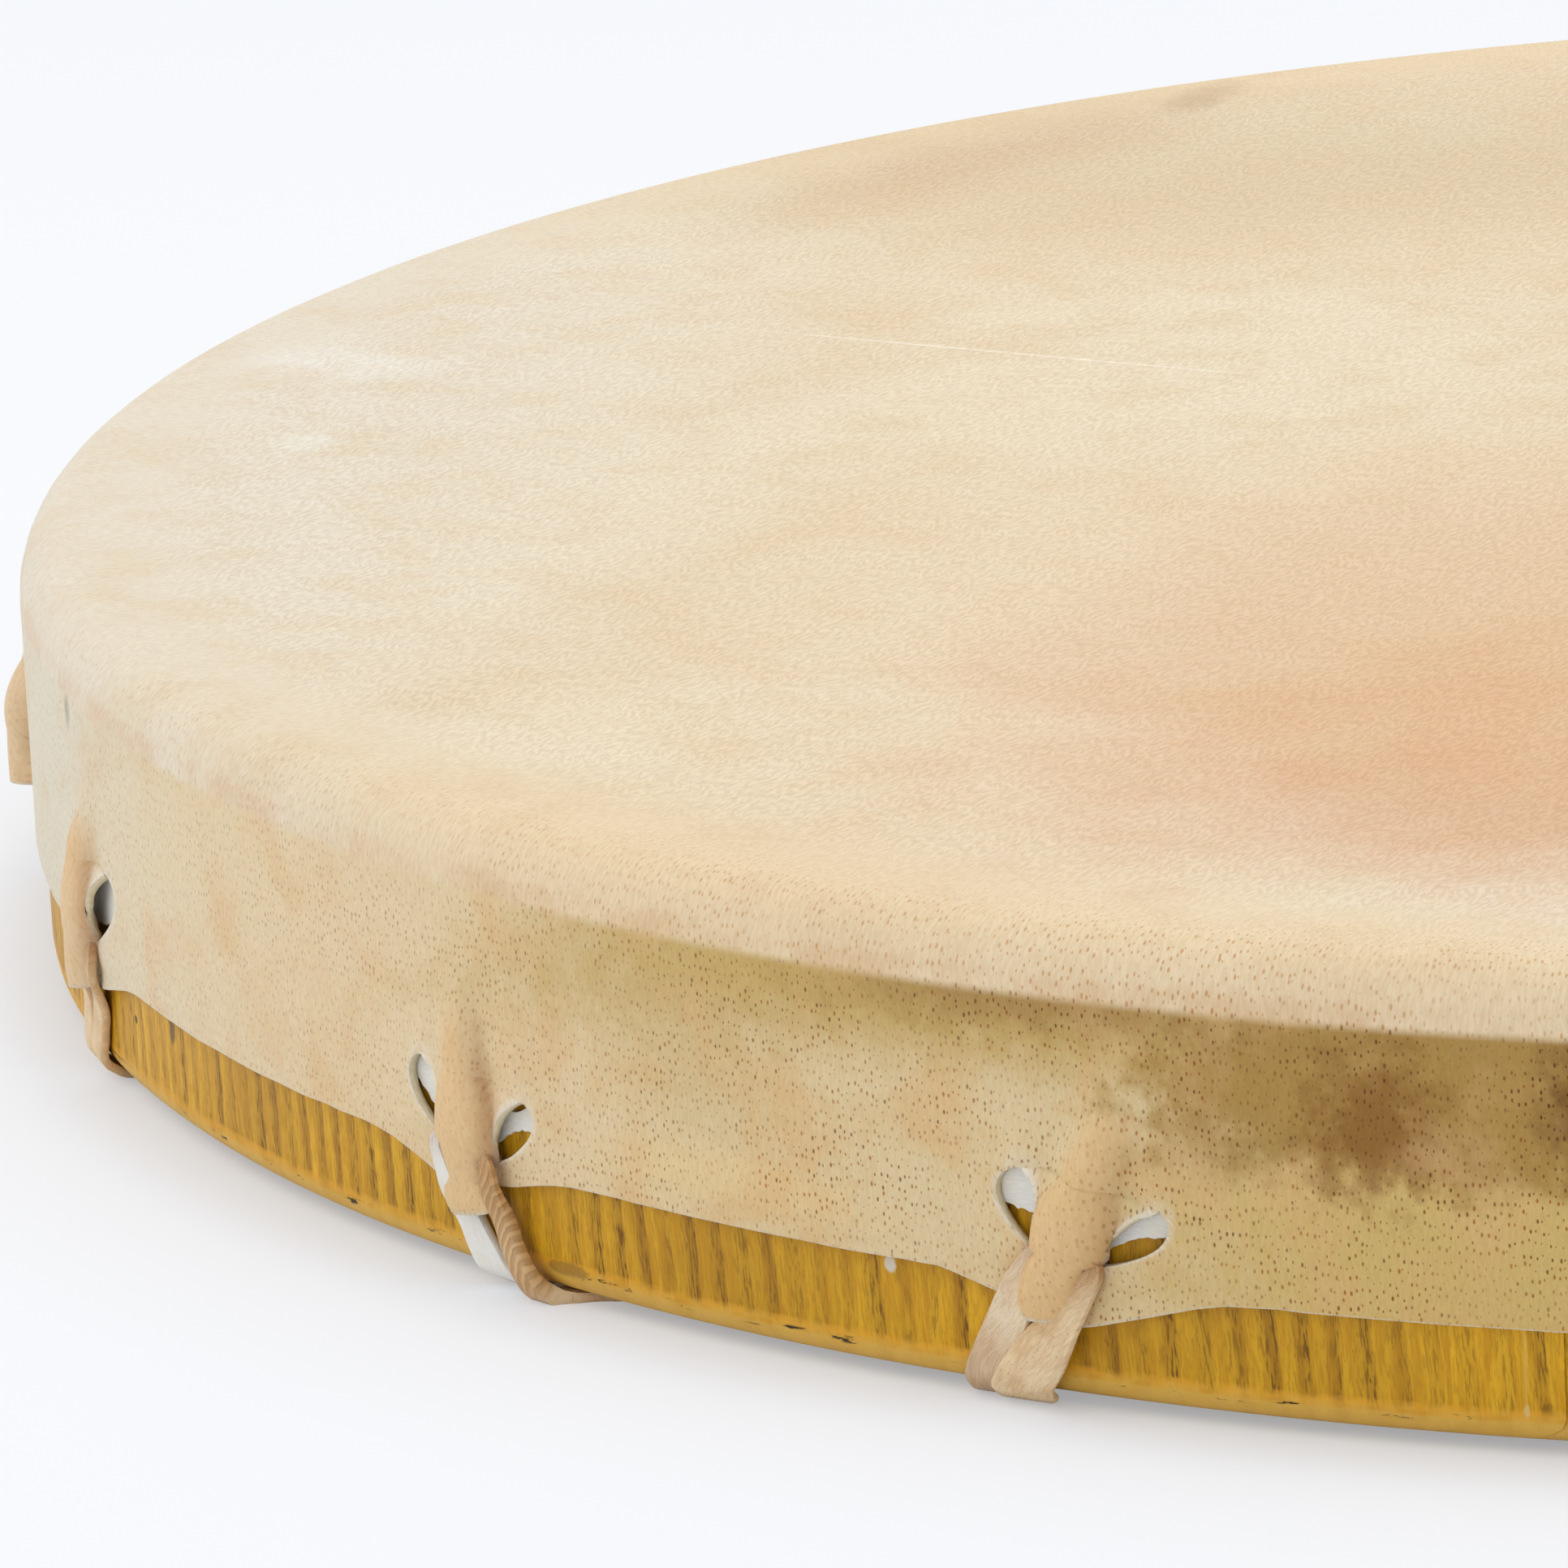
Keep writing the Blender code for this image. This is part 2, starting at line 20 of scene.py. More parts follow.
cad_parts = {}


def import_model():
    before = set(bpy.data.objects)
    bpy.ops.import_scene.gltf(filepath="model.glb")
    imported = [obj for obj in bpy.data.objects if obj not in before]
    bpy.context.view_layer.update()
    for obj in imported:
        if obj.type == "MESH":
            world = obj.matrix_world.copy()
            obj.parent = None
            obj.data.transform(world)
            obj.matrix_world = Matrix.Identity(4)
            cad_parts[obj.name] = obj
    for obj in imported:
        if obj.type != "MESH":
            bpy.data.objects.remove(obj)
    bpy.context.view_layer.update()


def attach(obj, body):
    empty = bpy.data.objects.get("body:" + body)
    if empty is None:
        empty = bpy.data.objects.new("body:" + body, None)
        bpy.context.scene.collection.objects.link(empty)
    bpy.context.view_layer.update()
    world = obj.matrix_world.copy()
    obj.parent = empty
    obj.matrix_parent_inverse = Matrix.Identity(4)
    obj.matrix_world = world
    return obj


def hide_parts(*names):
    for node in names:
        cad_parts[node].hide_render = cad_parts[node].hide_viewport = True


LOG = logging.getLogger("shaman_drum")

Socket = bpy.types.NodeSocket
Value = Union[Socket, float, tuple, str]
Pair = tuple[float, float]
MILLI = 0.001


@dataclass(frozen=True)
class DrumSizes:
    """The sizes that the drum's pieces share, as they are in its solids.

    A crown is the rounded upper edge, and a foot the rounded lower one. The outer and inner lacing
    points stand at an angle from their arm, and their strands lean towards it by so much for each
    millimetre down. Starts and ends along an arm are counted from the drum's axis.
    """

    fit_gap: float = 0.0003
    hoop_radius: float = 0.2490
    hoop_height: float = 0.0488
    ply: float = 0.0028
    plies: int = 3
    crown_width: float = 0.0052
    crown_drop: float = 0.0062
    foot_round: float = 0.0030
    inner_round: float = 0.0012
    skin: float = 0.0009
    lace_width: float = 0.0044
    lace_thickness: float = 0.0010
    lane_gap: float = 0.0005
    floor_gap: float = 0.0008
    arms: int = 4
    inner_point: float = math.radians(9.85)
    outer_point: float = math.radians(33.6)
    inner_lean: float = 0.50
    outer_lean: float = 0.15
    ring_radius: float = 0.0210
    ring_wire: float = 0.0040
    grip_start: float = 0.0350
    grip_end: float = 0.0800
    knot_start: float = 0.1500
    knot_end: float = 0.1600
    bundle_run: float = 0.0060
    lace_end: float = 0.0400

    @property
    def ground_to_hoop(self) -> float:
        """Height of the hoop's lower edge above the ground."""
        return self.lace_thickness + self.fit_gap

    @property
    def hoop_wall(self) -> float:
        """Thickness of the whole hoop."""
        return self.plies * self.ply + (self.plies - 1) * self.fit_gap

    @property
    def lane(self) -> float:
        """Step from one lace to the next beside it."""
        return self.lace_width + self.lane_gap

    @property
    def layer(self) -> float:
        """Half the step between the two layers of laces."""
        return (self.lace_thickness + self.fit_gap) / 2

    @property
    def ring_bend(self) -> float:
        """Distance from the wire's middle to the middle of a lace round it."""
        return self.ring_wire / 2 + 1.5 * self.fit_gap + self.lace_thickness / 2

    @property
    def grip_level(self) -> float:
        """Height of the cross above the ground."""
        return self.floor_gap + self.ring_bend + self.lace_thickness / 2


SIZES = DrumSizes()


def polar(radius: float, angle: float, height: float) -> Vector:
    """The point at a radius, at an angle about the drum's axis and at a height above the ground."""
    return Vector((radius * math.cos(angle), radius * math.sin(angle), height))


def smooth(value: float, low: float, high: float) -> float:
    """Rises softly from 0 at low to 1 at high, or falls where high is the lesser.

    Args:
        value: The number to place.
        low: Where the rise starts.
        high: Where it ends.

    Returns:
        A share from 0 to 1.
    """
    share = min(max((value - low) / (high - low), 0.0), 1.0)
    return share * share * (3 - 2 * share)


def blend(first: float, second: float, share: float) -> float:
    """The number at a share of the way from the first to the second."""
    return first + (second - first) * share


def bell(value: float, width: float) -> float:
    """Falls softly on both sides from 1 at nought, to about a third at the width."""
    return math.exp(-((value / width) ** 2))


def hex_colour(code: str) -> tuple[float, float, float, float]:
    """Turns a six digit screen colour into linear light.

    Args:
        code: The colour, such as "C8B27C".

    Returns:
        Red, green, blue and an alpha of 1.
    """
    found = []
    for start in (0, 2, 4):
        level = int(code[start : start + 2], 16) / 255
        found.append(level / 12.92 if level <= 0.04045 else ((level + 0.055) / 1.055) ** 2.4)
    return (*found, 1.0)


# Shader building


class Bench:
    """Places shader nodes in one node tree and joins them."""

    def __init__(self, tree: bpy.types.NodeTree) -> None:
        """Takes the tree that the nodes go into."""
        self.tree = tree

    def add(self, kind: str, **settings: object) -> bpy.types.Node:
        """Adds a node.

        Args:
            kind: The node's type name, without its ShaderNode beginning.
            settings: Values for the node's own properties.

        Returns:
            The new node.
        """
        node = self.tree.nodes.new("ShaderNode" + kind)
        for name, value in settings.items():
            setattr(node, name, value)
        return node

    def feed(self, socket: Socket, value: Value) -> None:
        """Joins a socket to another one, or gives it a fixed value, where text is a screen colour."""
        if isinstance(value, Socket):
            self.tree.links.new(value, socket)
        elif value is not None:
            socket.default_value = hex_colour(value) if isinstance(value, str) else value

    def math(self, operation: str, *values: Value, clamp: bool = False) -> Socket:
        """A sum on numbers.

        Args:
            operation: The Math node's operation.
            values: One to three numbers or sockets.
            clamp: Whether the result is kept between 0 and 1.

        Returns:
            The result's socket.
        """
        node = self.add("Math", operation=operation, use_clamp=clamp)
        for socket, value in zip(node.inputs, values):
            self.feed(socket, value)
        return node.outputs[0]

    def times(self, first: Value, second: Value) -> Socket:
        """The product of two numbers."""
        return self.math("MULTIPLY", first, second)

    def plus(self, first: Value, second: Value) -> Socket:
        """The sum of two numbers."""
        return self.math("ADD", first, second)

    def minus(self, first: Value, second: Value) -> Socket:
        """The first number less the second."""
        return self.math("SUBTRACT", first, second)

    def vector(self, operation: str, *values: Value) -> Socket:
        """A sum on vectors, with its result's socket."""
        node = self.add("VectorMath", operation=operation)
        for socket, value in zip(node.inputs, values):
            self.feed(socket, value)
        return node.outputs["Value" if operation in ("LENGTH", "DOT_PRODUCT", "DISTANCE") else "Vector"]

    def mix(self, share: Value, first: Value, second: Value, way: str = "MIX") -> Socket:
        """Blends two colours.

        Args:
            share: How much of the second colour shows.
            first: The lower colour.
            second: The upper colour.
            way: The Mix node's blend type.

        Returns:
            The blended colour's socket.
        """
        node = self.add("Mix", data_type="RGBA", blend_type=way)
        self.feed(node.inputs[0], share)
        self.feed(node.inputs[6], first)
        self.feed(node.inputs[7], second)
        return node.outputs[2]

    def fade(self, value: Value, low: Value, high: Value, start: Value = 0.0, end: Value = 1.0) -> Socket:
        """Maps a number softly from low..high to start..end."""
        node = self.add("MapRange", interpolation_type="SMOOTHSTEP")
        for socket, given in zip(node.inputs, (value, low, high, start, end)):
            self.feed(socket, given)
        return node.outputs[0]

    def noise(
        self, vector: Value, scale: Value, detail: float = 2.0, rough: float = 0.5, warp: float = 0.0
    ) -> Socket:
        """A noise value from 0 to 1.

        Args:
            vector: Where it is read.
            scale: How many of its lumps lie in one unit.
            detail: How many finer layers it has.
            rough: How strong the finer layers are.
            warp: How much it is distorted.

        Returns:
            The value's socket.
        """
        node = self.add("TexNoise")
        given = {"Vector": vector, "Scale": scale, "Detail": detail, "Roughness": rough, "Distortion": warp}
        for name, value in given.items():
            self.feed(node.inputs[name], value)
        return node.outputs[0]

    def turned(self, vector: Value, angle: Value) -> Socket:
        """A vector turned about the Z axis."""
        node = self.add("VectorRotate", rotation_type="Z_AXIS")
        self.feed(node.inputs["Vector"], vector)
        self.feed(node.inputs["Angle"], angle)
        return node.outputs[0]

    def attribute(self, name: str) -> Socket:
        """A number that the mesh's vertices carry."""
        return self.add("Attribute", attribute_name=name).outputs["Fac"]

    def laid(self, name: str) -> Socket:
        """Places in one of the mesh's UV layouts, in metres."""
        return self.add("UVMap", uv_map=name).outputs[0]

    def object_place(self) -> Socket:
        """Places in the object's own frame."""
        return self.add("TexCoord").outputs["Object"]

    def join(self, x: Value, y: Value, z: Value = 0.0) -> Socket:
        """A vector from its three numbers."""
        node = self.add("CombineXYZ")
        for socket, value in zip(node.inputs, (x, y, z)):
            self.feed(socket, value)
        return node.outputs[0]

    def split(self, vector: Value) -> tuple[Socket, Socket, Socket]:
        """A vector's three numbers."""
        node = self.add("SeparateXYZ")
        self.feed(node.inputs[0], vector)
        return tuple(node.outputs)

    def place(self, group: bpy.types.NodeTree, **values: Value) -> bpy.types.Node:
        """Places a node group with its own values, where a name's _ stands for a space."""
        node = self.add("Group")
        node.node_tree = group
        for name, value in values.items():
            self.feed(node.inputs[name.replace("_", " ")], value)
        return node


class Effect:
    """A node group that more than one finish uses, with named inputs and outputs."""

    def __init__(self, name: str, inputs: dict[str, object], outputs: dict[str, str]) -> None:
        """Makes the empty group.

        Args:
            name: The group's name.
            inputs: The default of each input, whose kind follows from it.
            outputs: The kind of each output, Float or Color.
        """
        self.tree = bpy.data.node_groups.new(name, "ShaderNodeTree")
        face = self.tree.interface
        for label, value in inputs.items():
            kind = "NodeSocketVector" if value is None or isinstance(value, tuple) else "NodeSocketFloat"
            made = face.new_socket(name=label, in_out="INPUT", socket_type=kind)
            if value is not None:
                made.default_value = value
        for label, kind in outputs.items():
            face.new_socket(name=label, in_out="OUTPUT", socket_type="NodeSocket" + kind)
        self.bench = Bench(self.tree)
        entry = self.tree.nodes.new("NodeGroupInput")
        self.ends = self.tree.nodes.new("NodeGroupOutput")
        self.given = {label: entry.outputs[label] for label in inputs}

    def give(self, **results: Socket) -> None:
        """Joins results to the group's outputs by name."""
        for label, socket in results.items():
            self.bench.feed(self.ends.inputs[label], socket)


class Effects:
    """The shared effects of the drum's finishes, each built once."""

    def __init__(self) -> None:
        """Builds every group."""
        self.spot = self._spot()
        self.strokes = self._strokes()
        self.pores = self._pores()
        self.veneer = self._veneer()

    @staticmethod
    def _spot() -> bpy.types.NodeTree:
        """A soft oval spot with a ragged rim."""
        made = Effect(
            "soft_spot",
            {"Vector": None, "Middle": (0.0, 0.0, 0.0), "Half Size": (1.0, 1.0, 1.0), "Turn": 0.0,
             "Ragged": 0.3, "Grain": 100.0, "Inner": 0.3, "Outer": 1.0},
            {"Mask": "Float"},
        )
        b, given = made.bench, made.given
        turned = b.turned(b.vector("SUBTRACT", given["Vector"], given["Middle"]), given["Turn"])
        reach = b.vector("LENGTH", b.vector("DIVIDE", turned, given["Half Size"]))
        rough = b.noise(given["Vector"], given["Grain"], 4.0, 0.6)
        uneven = b.times(b.minus(rough, 0.5), given["Ragged"])
        made.give(Mask=b.fade(b.plus(reach, uneven), given["Outer"], given["Inner"]))
        return made.tree

    @staticmethod
    def _strokes() -> bpy.types.NodeTree:
        """Short strokes that all lie one way, such as hair grain or torn fibres."""
        made = Effect(
            "short_strokes",
            {"Vector": None, "Turn": 0.0, "Across": 2000.0, "Along": 600.0, "Wave": 0.3},
            {"Height": "Float", "Tone": "Float"},
        )
        b, given = made.bench, made.given
        sway = b.minus(b.noise(given["Vector"], 110.0, 2.0), 0.5)
        turned = b.turned(given["Vector"], given["Turn"])
        swayed = b.vector("ADD", turned, b.join(0.0, b.times(sway, b.times(given["Wave"], 0.006))))
        drawn = b.vector("MULTIPLY", swayed, b.join(given["Along"], given["Across"], given["Across"]))
        height = b.noise(drawn, 1.0, 3.0, 0.55, 0.2)
        tone = b.noise(b.vector("ADD", drawn, (31.7, 11.3, 5.1)), 0.6, 2.0, 0.6)
        made.give(Height=height, Tone=tone)
        return made.tree

    @staticmethod
    def _pores() -> bpy.types.NodeTree:
        """Hair pores, as small dots that are drawn out one way."""
        made = Effect(
            "hair_pores",
            {"Vector": None, "Spacing": 0.0008, "Drawn Out": 1.6, "Size": 0.2},
            {"Mask": "Float", "Shade": "Float"},
        )
        b, given = made.bench, made.given
        fine = b.math("DIVIDE", 1.0, given["Spacing"])
        laid = b.vector("MULTIPLY", given["Vector"], b.join(fine, b.math("DIVIDE", fine, given["Drawn Out"]), fine))
        cells = b.add("TexVoronoi", voronoi_dimensions="2D", feature="F1")
        b.feed(cells.inputs["Vector"], laid)
        cells.inputs["Scale"].default_value = 1.0
        cells.inputs["Randomness"].default_value = 0.75
        red, green, _ = b.split(cells.outputs["Color"])
        size = b.times(given["Size"], b.plus(0.45, red))
        soft = b.times(size, 0.45)
        made.give(Mask=b.fade(cells.outputs["Distance"], size, soft), Shade=green)
        return made.tree

    @staticmethod
    def _veneer() -> bpy.types.NodeTree:
        """Stained veneer with its grain upright: fine pores in darker bands of growth."""
        made = Effect(
            "stained_veneer",
            {"Vector": None, "Band Width": 0.0036, "Slant": 0.06, "Strength": 1.0},
            {"Color": "Color", "Height": "Float", "Pores": "Float"},
        )
        b, given = made.bench, made.given
        along, up, _ = b.split(given["Vector"])
        slid = b.plus(along, b.times(up, given["Slant"]))
        sway = b.noise(b.join(b.times(along, 60.0), b.times(up, 25.0)), 1.0, 2.0)
        slid = b.plus(slid, b.times(sway, 0.0026))
        turns = b.math("DIVIDE", slid, given["Band Width"])
        saw = b.math("FRACT", turns)
        number = b.math("FLOOR", turns)
        chance = b.add("TexWhiteNoise", noise_dimensions="1D")
        b.feed(chance.inputs["W"], number)
        band = b.times(b.fade(saw, 0.25, 0.80), b.fade(saw, 1.0, 0.86))
        band = b.times(band, b.fade(chance.outputs["Value"], -0.2, 1.0, 0.25, 1.0))
        thread = b.noise(b.join(b.times(slid, 3600.0), b.times(up, 420.0)), 1.0, 2.0, 0.6)
        broad = b.noise(b.join(b.times(slid, 1000.0), b.times(up, 70.0)), 1.0, 3.0, 0.6)
        large = b.noise(given["Vector"], 26.0, 3.0)
        sharp = b.fade(thread, 0.50, 0.60)
        pores = b.times(sharp, b.plus(0.42, b.times(band, 0.58)))
        pores = b.times(pores, b.fade(broad, 0.30, 0.60, 0.35, 1.0))
        dark = b.times(b.plus(b.times(band, 0.55), b.times(pores, 0.60)), given["Strength"])
        ground = b.mix(b.fade(broad, 0.3, 0.7), "CA9114", "EEB928")
        ground = b.mix(b.fade(large, 0.35, 0.7, 0.0, 0.6), ground, "BC8A20")
        dark = b.math("MULTIPLY", dark, b.fade(thread, 0.25, 0.6, 0.6, 1.0), clamp=True)
        colour = b.mix(b.times(dark, 0.92), ground, "6A4412")
        made.give(Color=colour, Height=b.minus(1.0, pores), Pores=pores)
        return made.tree


EFFECTS = Effects()


class Finish(Bench):
    """A new material with one Principled shader, and the bench of its tree."""

    def __init__(self, name: str) -> None:
        """Makes the material under its name."""
        self.made = bpy.data.materials.new(name)
        self.made.use_nodes = True
        super().__init__(self.made.node_tree)
        self.shader = self.tree.nodes["Principled BSDF"]

    def set(self, **values: Value) -> None:
        """Sets the shader's own sockets, where a name's _ stands for a space."""
        for name, value in values.items():
            self.feed(self.shader.inputs[name.replace("_", " ")], value)

    def bump(self, height: Socket, strength: float, depth: float) -> bpy.types.Material:
        """Gives the shader a fine relief, as the last step.

        Args:
            height: The relief's height from 0 to 1.
            strength: How much of it shows.
            depth: The real height of 1, in metres.

        Returns:
            The finished material.
        """
        node = self.add("Bump")
        for name, value in (("Strength", strength), ("Distance", depth), ("Height", height)):
            self.feed(node.inputs[name], value)
        self.feed(self.shader.inputs["Normal"], node.outputs[0])
        return self.made


@dataclass(frozen=True)
class Mark:
    """A soft oval mark on the hide laid out flat.

    Attributes:
        middle: Its middle.
        half: Half its sizes along its own two axes.
        colour: Its colour.
        strength: How much of it covers the hide.
        turn: How far it is turned.
        ragged: How uneven its rim is.
        inner: The share of its size from which it fades.
        grain: How many of its rim's lumps lie in a metre, or nought to follow its size.
    """

    middle: Pair
    half: Pair
    colour: str
    strength: float
    turn: float = 0.0
    ragged: float = 0.5
    inner: float = 0.15
    grain: float = 0.0


# Where the hide turns from the flat head through the rounded edge to the skirt, along the hide
RIM_START = SIZES.hoop_radius - SIZES.crown_width
CROWN_LENGTH = 0.0090
WALL_START = RIM_START + CROWN_LENGTH


def on_wall(angle: float, height: float) -> Pair:
    """Where a place on the skirt lies on the hide laid out flat.

    Args:
        angle: The angle about the drum's axis in degrees.
        height: The height above the hoop's lower edge.

    Returns:
        Its two coordinates on the flat hide.
    """
    reach = WALL_START + SIZES.hoop_height - SIZES.crown_drop - height
    return reach * math.cos(math.radians(angle)), reach * math.sin(math.radians(angle))


@dataclass(frozen=True)
class GoatHide:
    """The hair side of the drumhead: cream grain, pores at the rim and pigment on the skirt, with painted sheen and a
    painted highlight on its left and painted shade at the folds.
    """

    cream: str = "EBDCC0"
    tan: str = "E0C49C"
    rim: str = "ECD3AA"
    skirt: str = "E2CCA0"
    skirt_warm: str = "DFC08A"
    fold: str = "E6BC84"
    pore: str = "D09C68"
    pore_dark: str = "A07C58"
    pore_light: str = "E8C6A2"
    torn: str = "F1EADB"
    pore_spacing: float = 0.00074

    marks: tuple[Mark, ...] = (
        # Painted sheen: a broad pale zone over the head's left part and its rim.
        Mark((-0.197, -0.137), (0.100, 0.300), "E6DDCB", 0.90, turn=-0.61, ragged=0.4, inner=0.2),
        Mark((-0.168, 0.066), (0.130, 0.070), "D6C19C", 0.65, turn=-0.61, ragged=0.5),
        Mark((0.030, -0.165), (0.085, 0.080), "DDA270", 0.60, ragged=1.1, inner=0.0, grain=45.0),
        Mark((0.052, -0.188), (0.055, 0.042), "D08F62", 0.35, ragged=1.1, inner=0.0, grain=60.0),
        Mark((0.020, -0.100), (0.130, 0.120), "DDB080", 0.55, ragged=0.7),
        # A pale worn patch at the front right, partly a painted highlight.
        Mark((0.082, -0.212), (0.030, 0.018), "F0E7D8", 0.30, ragged=1.0, inner=0.0, grain=80.0),
        Mark((-0.1345, -0.0437), (0.058, 0.0005), "FCF5E8", 0.85, turn=-0.149, ragged=0.15),
        Mark((-0.180, -0.124), (0.0075, 0.0050), "EBE7D8", 0.85, ragged=0.6, inner=0.5),
        # Painted highlight: a soft whitish spot near the left rim.
        Mark((-0.208, -0.088), (0.019, 0.016), "F0EEE6", 0.65, ragged=0.8),
        Mark((-0.216, 0.092), (0.016, 0.006), "A98A62", 0.40, turn=-1.9, ragged=1.2, grain=120.0),
        Mark((-0.216, 0.043), (0.022, 0.060), "D2B088", 0.45, ragged=0.9),
        Mark((-0.060, -0.205), (0.050, 0.012), "EBDABC", 0.45, turn=0.25, ragged=0.9),
    )

    def material(self) -> bpy.types.Material:
        """Builds the material."""
        b = Finish("goat_hide")
        flat = b.laid("hide")
        x, y, _ = b.split(flat)
        reach = b.vector("LENGTH", flat)
        round_way = b.math("ARCTAN2", y, x)
        wall = b.fade(reach, WALL_START - 0.0008, WALL_START + 0.0003)
        # Round and down the skirt, in metres
        laid = b.join(b.times(round_way, SIZES.hoop_radius), reach)
        near_rim = b.fade(reach, RIM_START - 0.020, RIM_START + 0.001)

        broad = b.noise(flat, 14.0, 3.0, 0.5, 0.4)
        cloud = b.noise(flat, 70.0, 4.0, 0.6, 0.2)
        strokes = [
            b.place(EFFECTS.strokes, Vector=place, Turn=math.radians(turn), Across=across, Along=along, Wave=wave)
            for place, turn, across, along, wave in ((flat, -105, 2000.0, 640.0, 0.8), (laid, -90, 2600.0, 720.0, 0.5))
        ]
        grain, tone = (b.mix(near_rim, *(node.outputs[name] for node in strokes)) for name in ("Height", "Tone"))

        head = b.mix(b.fade(broad, 0.35, 0.68, 0.0, 0.40), self.cream, self.tan)
        head = b.mix(b.times(near_rim, 0.65), head, self.rim)
        for mark in self.marks:
            head = self._laid_mark(b, flat, head, mark)
        head = b.mix(b.fade(cloud, 0.42, 0.72, 0.0, 0.38), head, self.tan)
        line = b.times(b.fade(reach, WALL_START - 0.0030, WALL_START - 0.0012), b.fade(cloud, 0.35, 0.6))
        head = b.mix(b.times(line, 0.30), head, "D6A672")
        skirt = b.mix(b.fade(cloud, 0.40, 0.70), self.skirt, self.skirt_warm)
        for mark in self._pigment():
            skirt = self._laid_mark(b, flat, skirt, mark)
        skirt = b.mix(b.fade(cloud, 0.45, 0.72, 0.0, 0.40), skirt, "E0B682")
        fold = b.attribute("fold")
        skirt = b.mix(b.times(fold, 0.60), skirt, self.fold)
        colour = b.mix(wall, head, skirt)

        pores = b.place(EFFECTS.pores, Vector=laid, Spacing=self.pore_spacing, Drawn_Out=1.8, Size=0.18)
        patchy = b.fade(b.noise(laid, 90.0, 3.0), 0.30, 0.62, 0.35, 1.0)
        seen = b.times(b.fade(reach, RIM_START - 0.012, RIM_START + 0.004), patchy)
        seen = b.times(seen, pores.outputs["Mask"])
        dot = b.mix(b.fade(pores.outputs["Shade"], 0.45, 0.85), self.pore, self.pore_dark)
        dot = b.mix(wall, self.pore_light, dot)
        light = b.mix(b.fade(grain, 0.38, 0.62), (0.87, 0.82, 0.74, 1.0), (1.06, 1.06, 1.06, 1.0))
        depth = b.minus(b.minus(0.72, b.times(near_rim, 0.27)), b.times(wall, 0.10))
        colour = b.mix(depth, colour, b.mix(1.0, colour, light, "MULTIPLY"))
        dotted = b.times(seen, b.fade(x, -0.12, 0.05, 0.45, 1.0))
        dotted = b.times(dotted, b.minus(1.0, b.times(fold, 0.65)))
        colour = b.mix(dotted, colour, dot, "MULTIPLY")

        cut = b.attribute("cut")
        fibres = b.place(EFFECTS.strokes, Vector=laid, Turn=math.radians(-60), Across=3200.0, Along=700.0, Wave=0.6)
        white = b.times(cut, b.fade(fibres.outputs["Height"], 0.30, 0.70, 0.55, 1.0))
        colour = b.mix(b.fade(white, 0.10, 0.85, 0.0, 0.9), colour, self.torn)
        # The stain layer browns the skin with real damp stain and painted shadow at the slits' feet, and painted shade
        # along each fold's right side.
        stain = b.attribute("stain")
        colour = b.mix(b.times(stain, b.fade(cloud, 0.3, 0.7, 0.5, 1.0)), colour, "A0662A")

        b.set(
            Base_Color=colour, Roughness=b.fade(tone, 0.3, 0.7, 0.50, 0.64), Specular_IOR_Level=0.27,
            Subsurface_Weight=0.06, Subsurface_Radius=(0.0014, 0.0009, 0.0005), Subsurface_Scale=1.0,
        )
        fur = b.minus(0.8, b.times(near_rim, 0.35))
        relief = b.plus(b.times(grain, fur), b.times(fibres.outputs["Height"], b.times(cut, 1.6)))
        relief = b.minus(relief, b.times(seen, 0.5))
        return b.bump(relief, 0.60, 0.00018)

    @staticmethod
    def _laid_mark(b: Bench, flat: Socket, under: Socket, mark: Mark) -> Socket:
        """Lays one mark over a colour.

        Args:
            b: The bench of the material's tree.
            flat: Places on the flat hide.
            under: The colour that it lies on.
            mark: The mark.

        Returns:
            The colour with the mark.
        """
        spot = b.place(
            EFFECTS.spot, Vector=flat, Middle=(*mark.middle, 0.0), Half_Size=(*mark.half, 1.0),
            Turn=mark.turn, Ragged=mark.ragged, Grain=mark.grain or 1.2 / max(mark.half), Inner=mark.inner,
        )
        return b.mix(b.times(spot.outputs[0], mark.strength), under, mark.colour)

    @staticmethod
    def _pigment() -> list[Mark]:
        """Painted sheen on the skirt's left, then the brown pigment on the skirt, from the darkest patch out."""
        patches = (
            # Painted sheen: the pale, whitish left side of the skirt, strongest at its far left.
            (-136.0, 0.0280, 0.1600, 0.0600, "E0D8C2", 0.95, 0.5, 0.40),
            (-108.0, 0.0280, 0.0900, 0.0300, "E8D2AC", 0.60, 0.5, 0.40),
            (-84.0, 0.0425, 0.1000, 0.0120, "C6A65E", 0.90, 0.6, 0.20),
            (-66.0, 0.0240, 0.0800, 0.0300, "D2B46A", 0.90, 0.4, 0.45),
            (-90.5, 0.0180, 0.0300, 0.0045, "EBCD94", 0.60, 0.6, 0.20),
            (-91.5, 0.0300, 0.0200, 0.0120, "D0B47C", 0.55, 0.8, 0.10),
            (-71.0, 0.0360, 0.0420, 0.0120, "AC8640", 0.90, 0.9, 0.60),
            (-81.0, 0.0430, 0.0420, 0.0060, "A47E42", 0.75, 1.0, 0.10),
            (-76.5, 0.0290, 0.0140, 0.0060, "AE9054", 0.55, 1.2, 0.00),
            (-72.5, 0.0330, 0.0115, 0.0115, "8A5C1C", 0.80, 1.7, 0.15),
            (-67.2, 0.0360, 0.0085, 0.0105, "764E12", 0.85, 1.5, 0.20),
            (-64.0, 0.0250, 0.0120, 0.0040, "9C7840", 0.60, 1.2, 0.00),
            (-123.3, 0.0415, 0.0018, 0.0036, "8E8578", 0.60, 1.2, 0.00),
        )
        return [
            Mark(on_wall(angle, height), (wide, tall), colour, strength, math.radians(-angle - 90), *rim, 260.0)
            for angle, height, wide, tall, colour, strength, *rim in patches
        ]


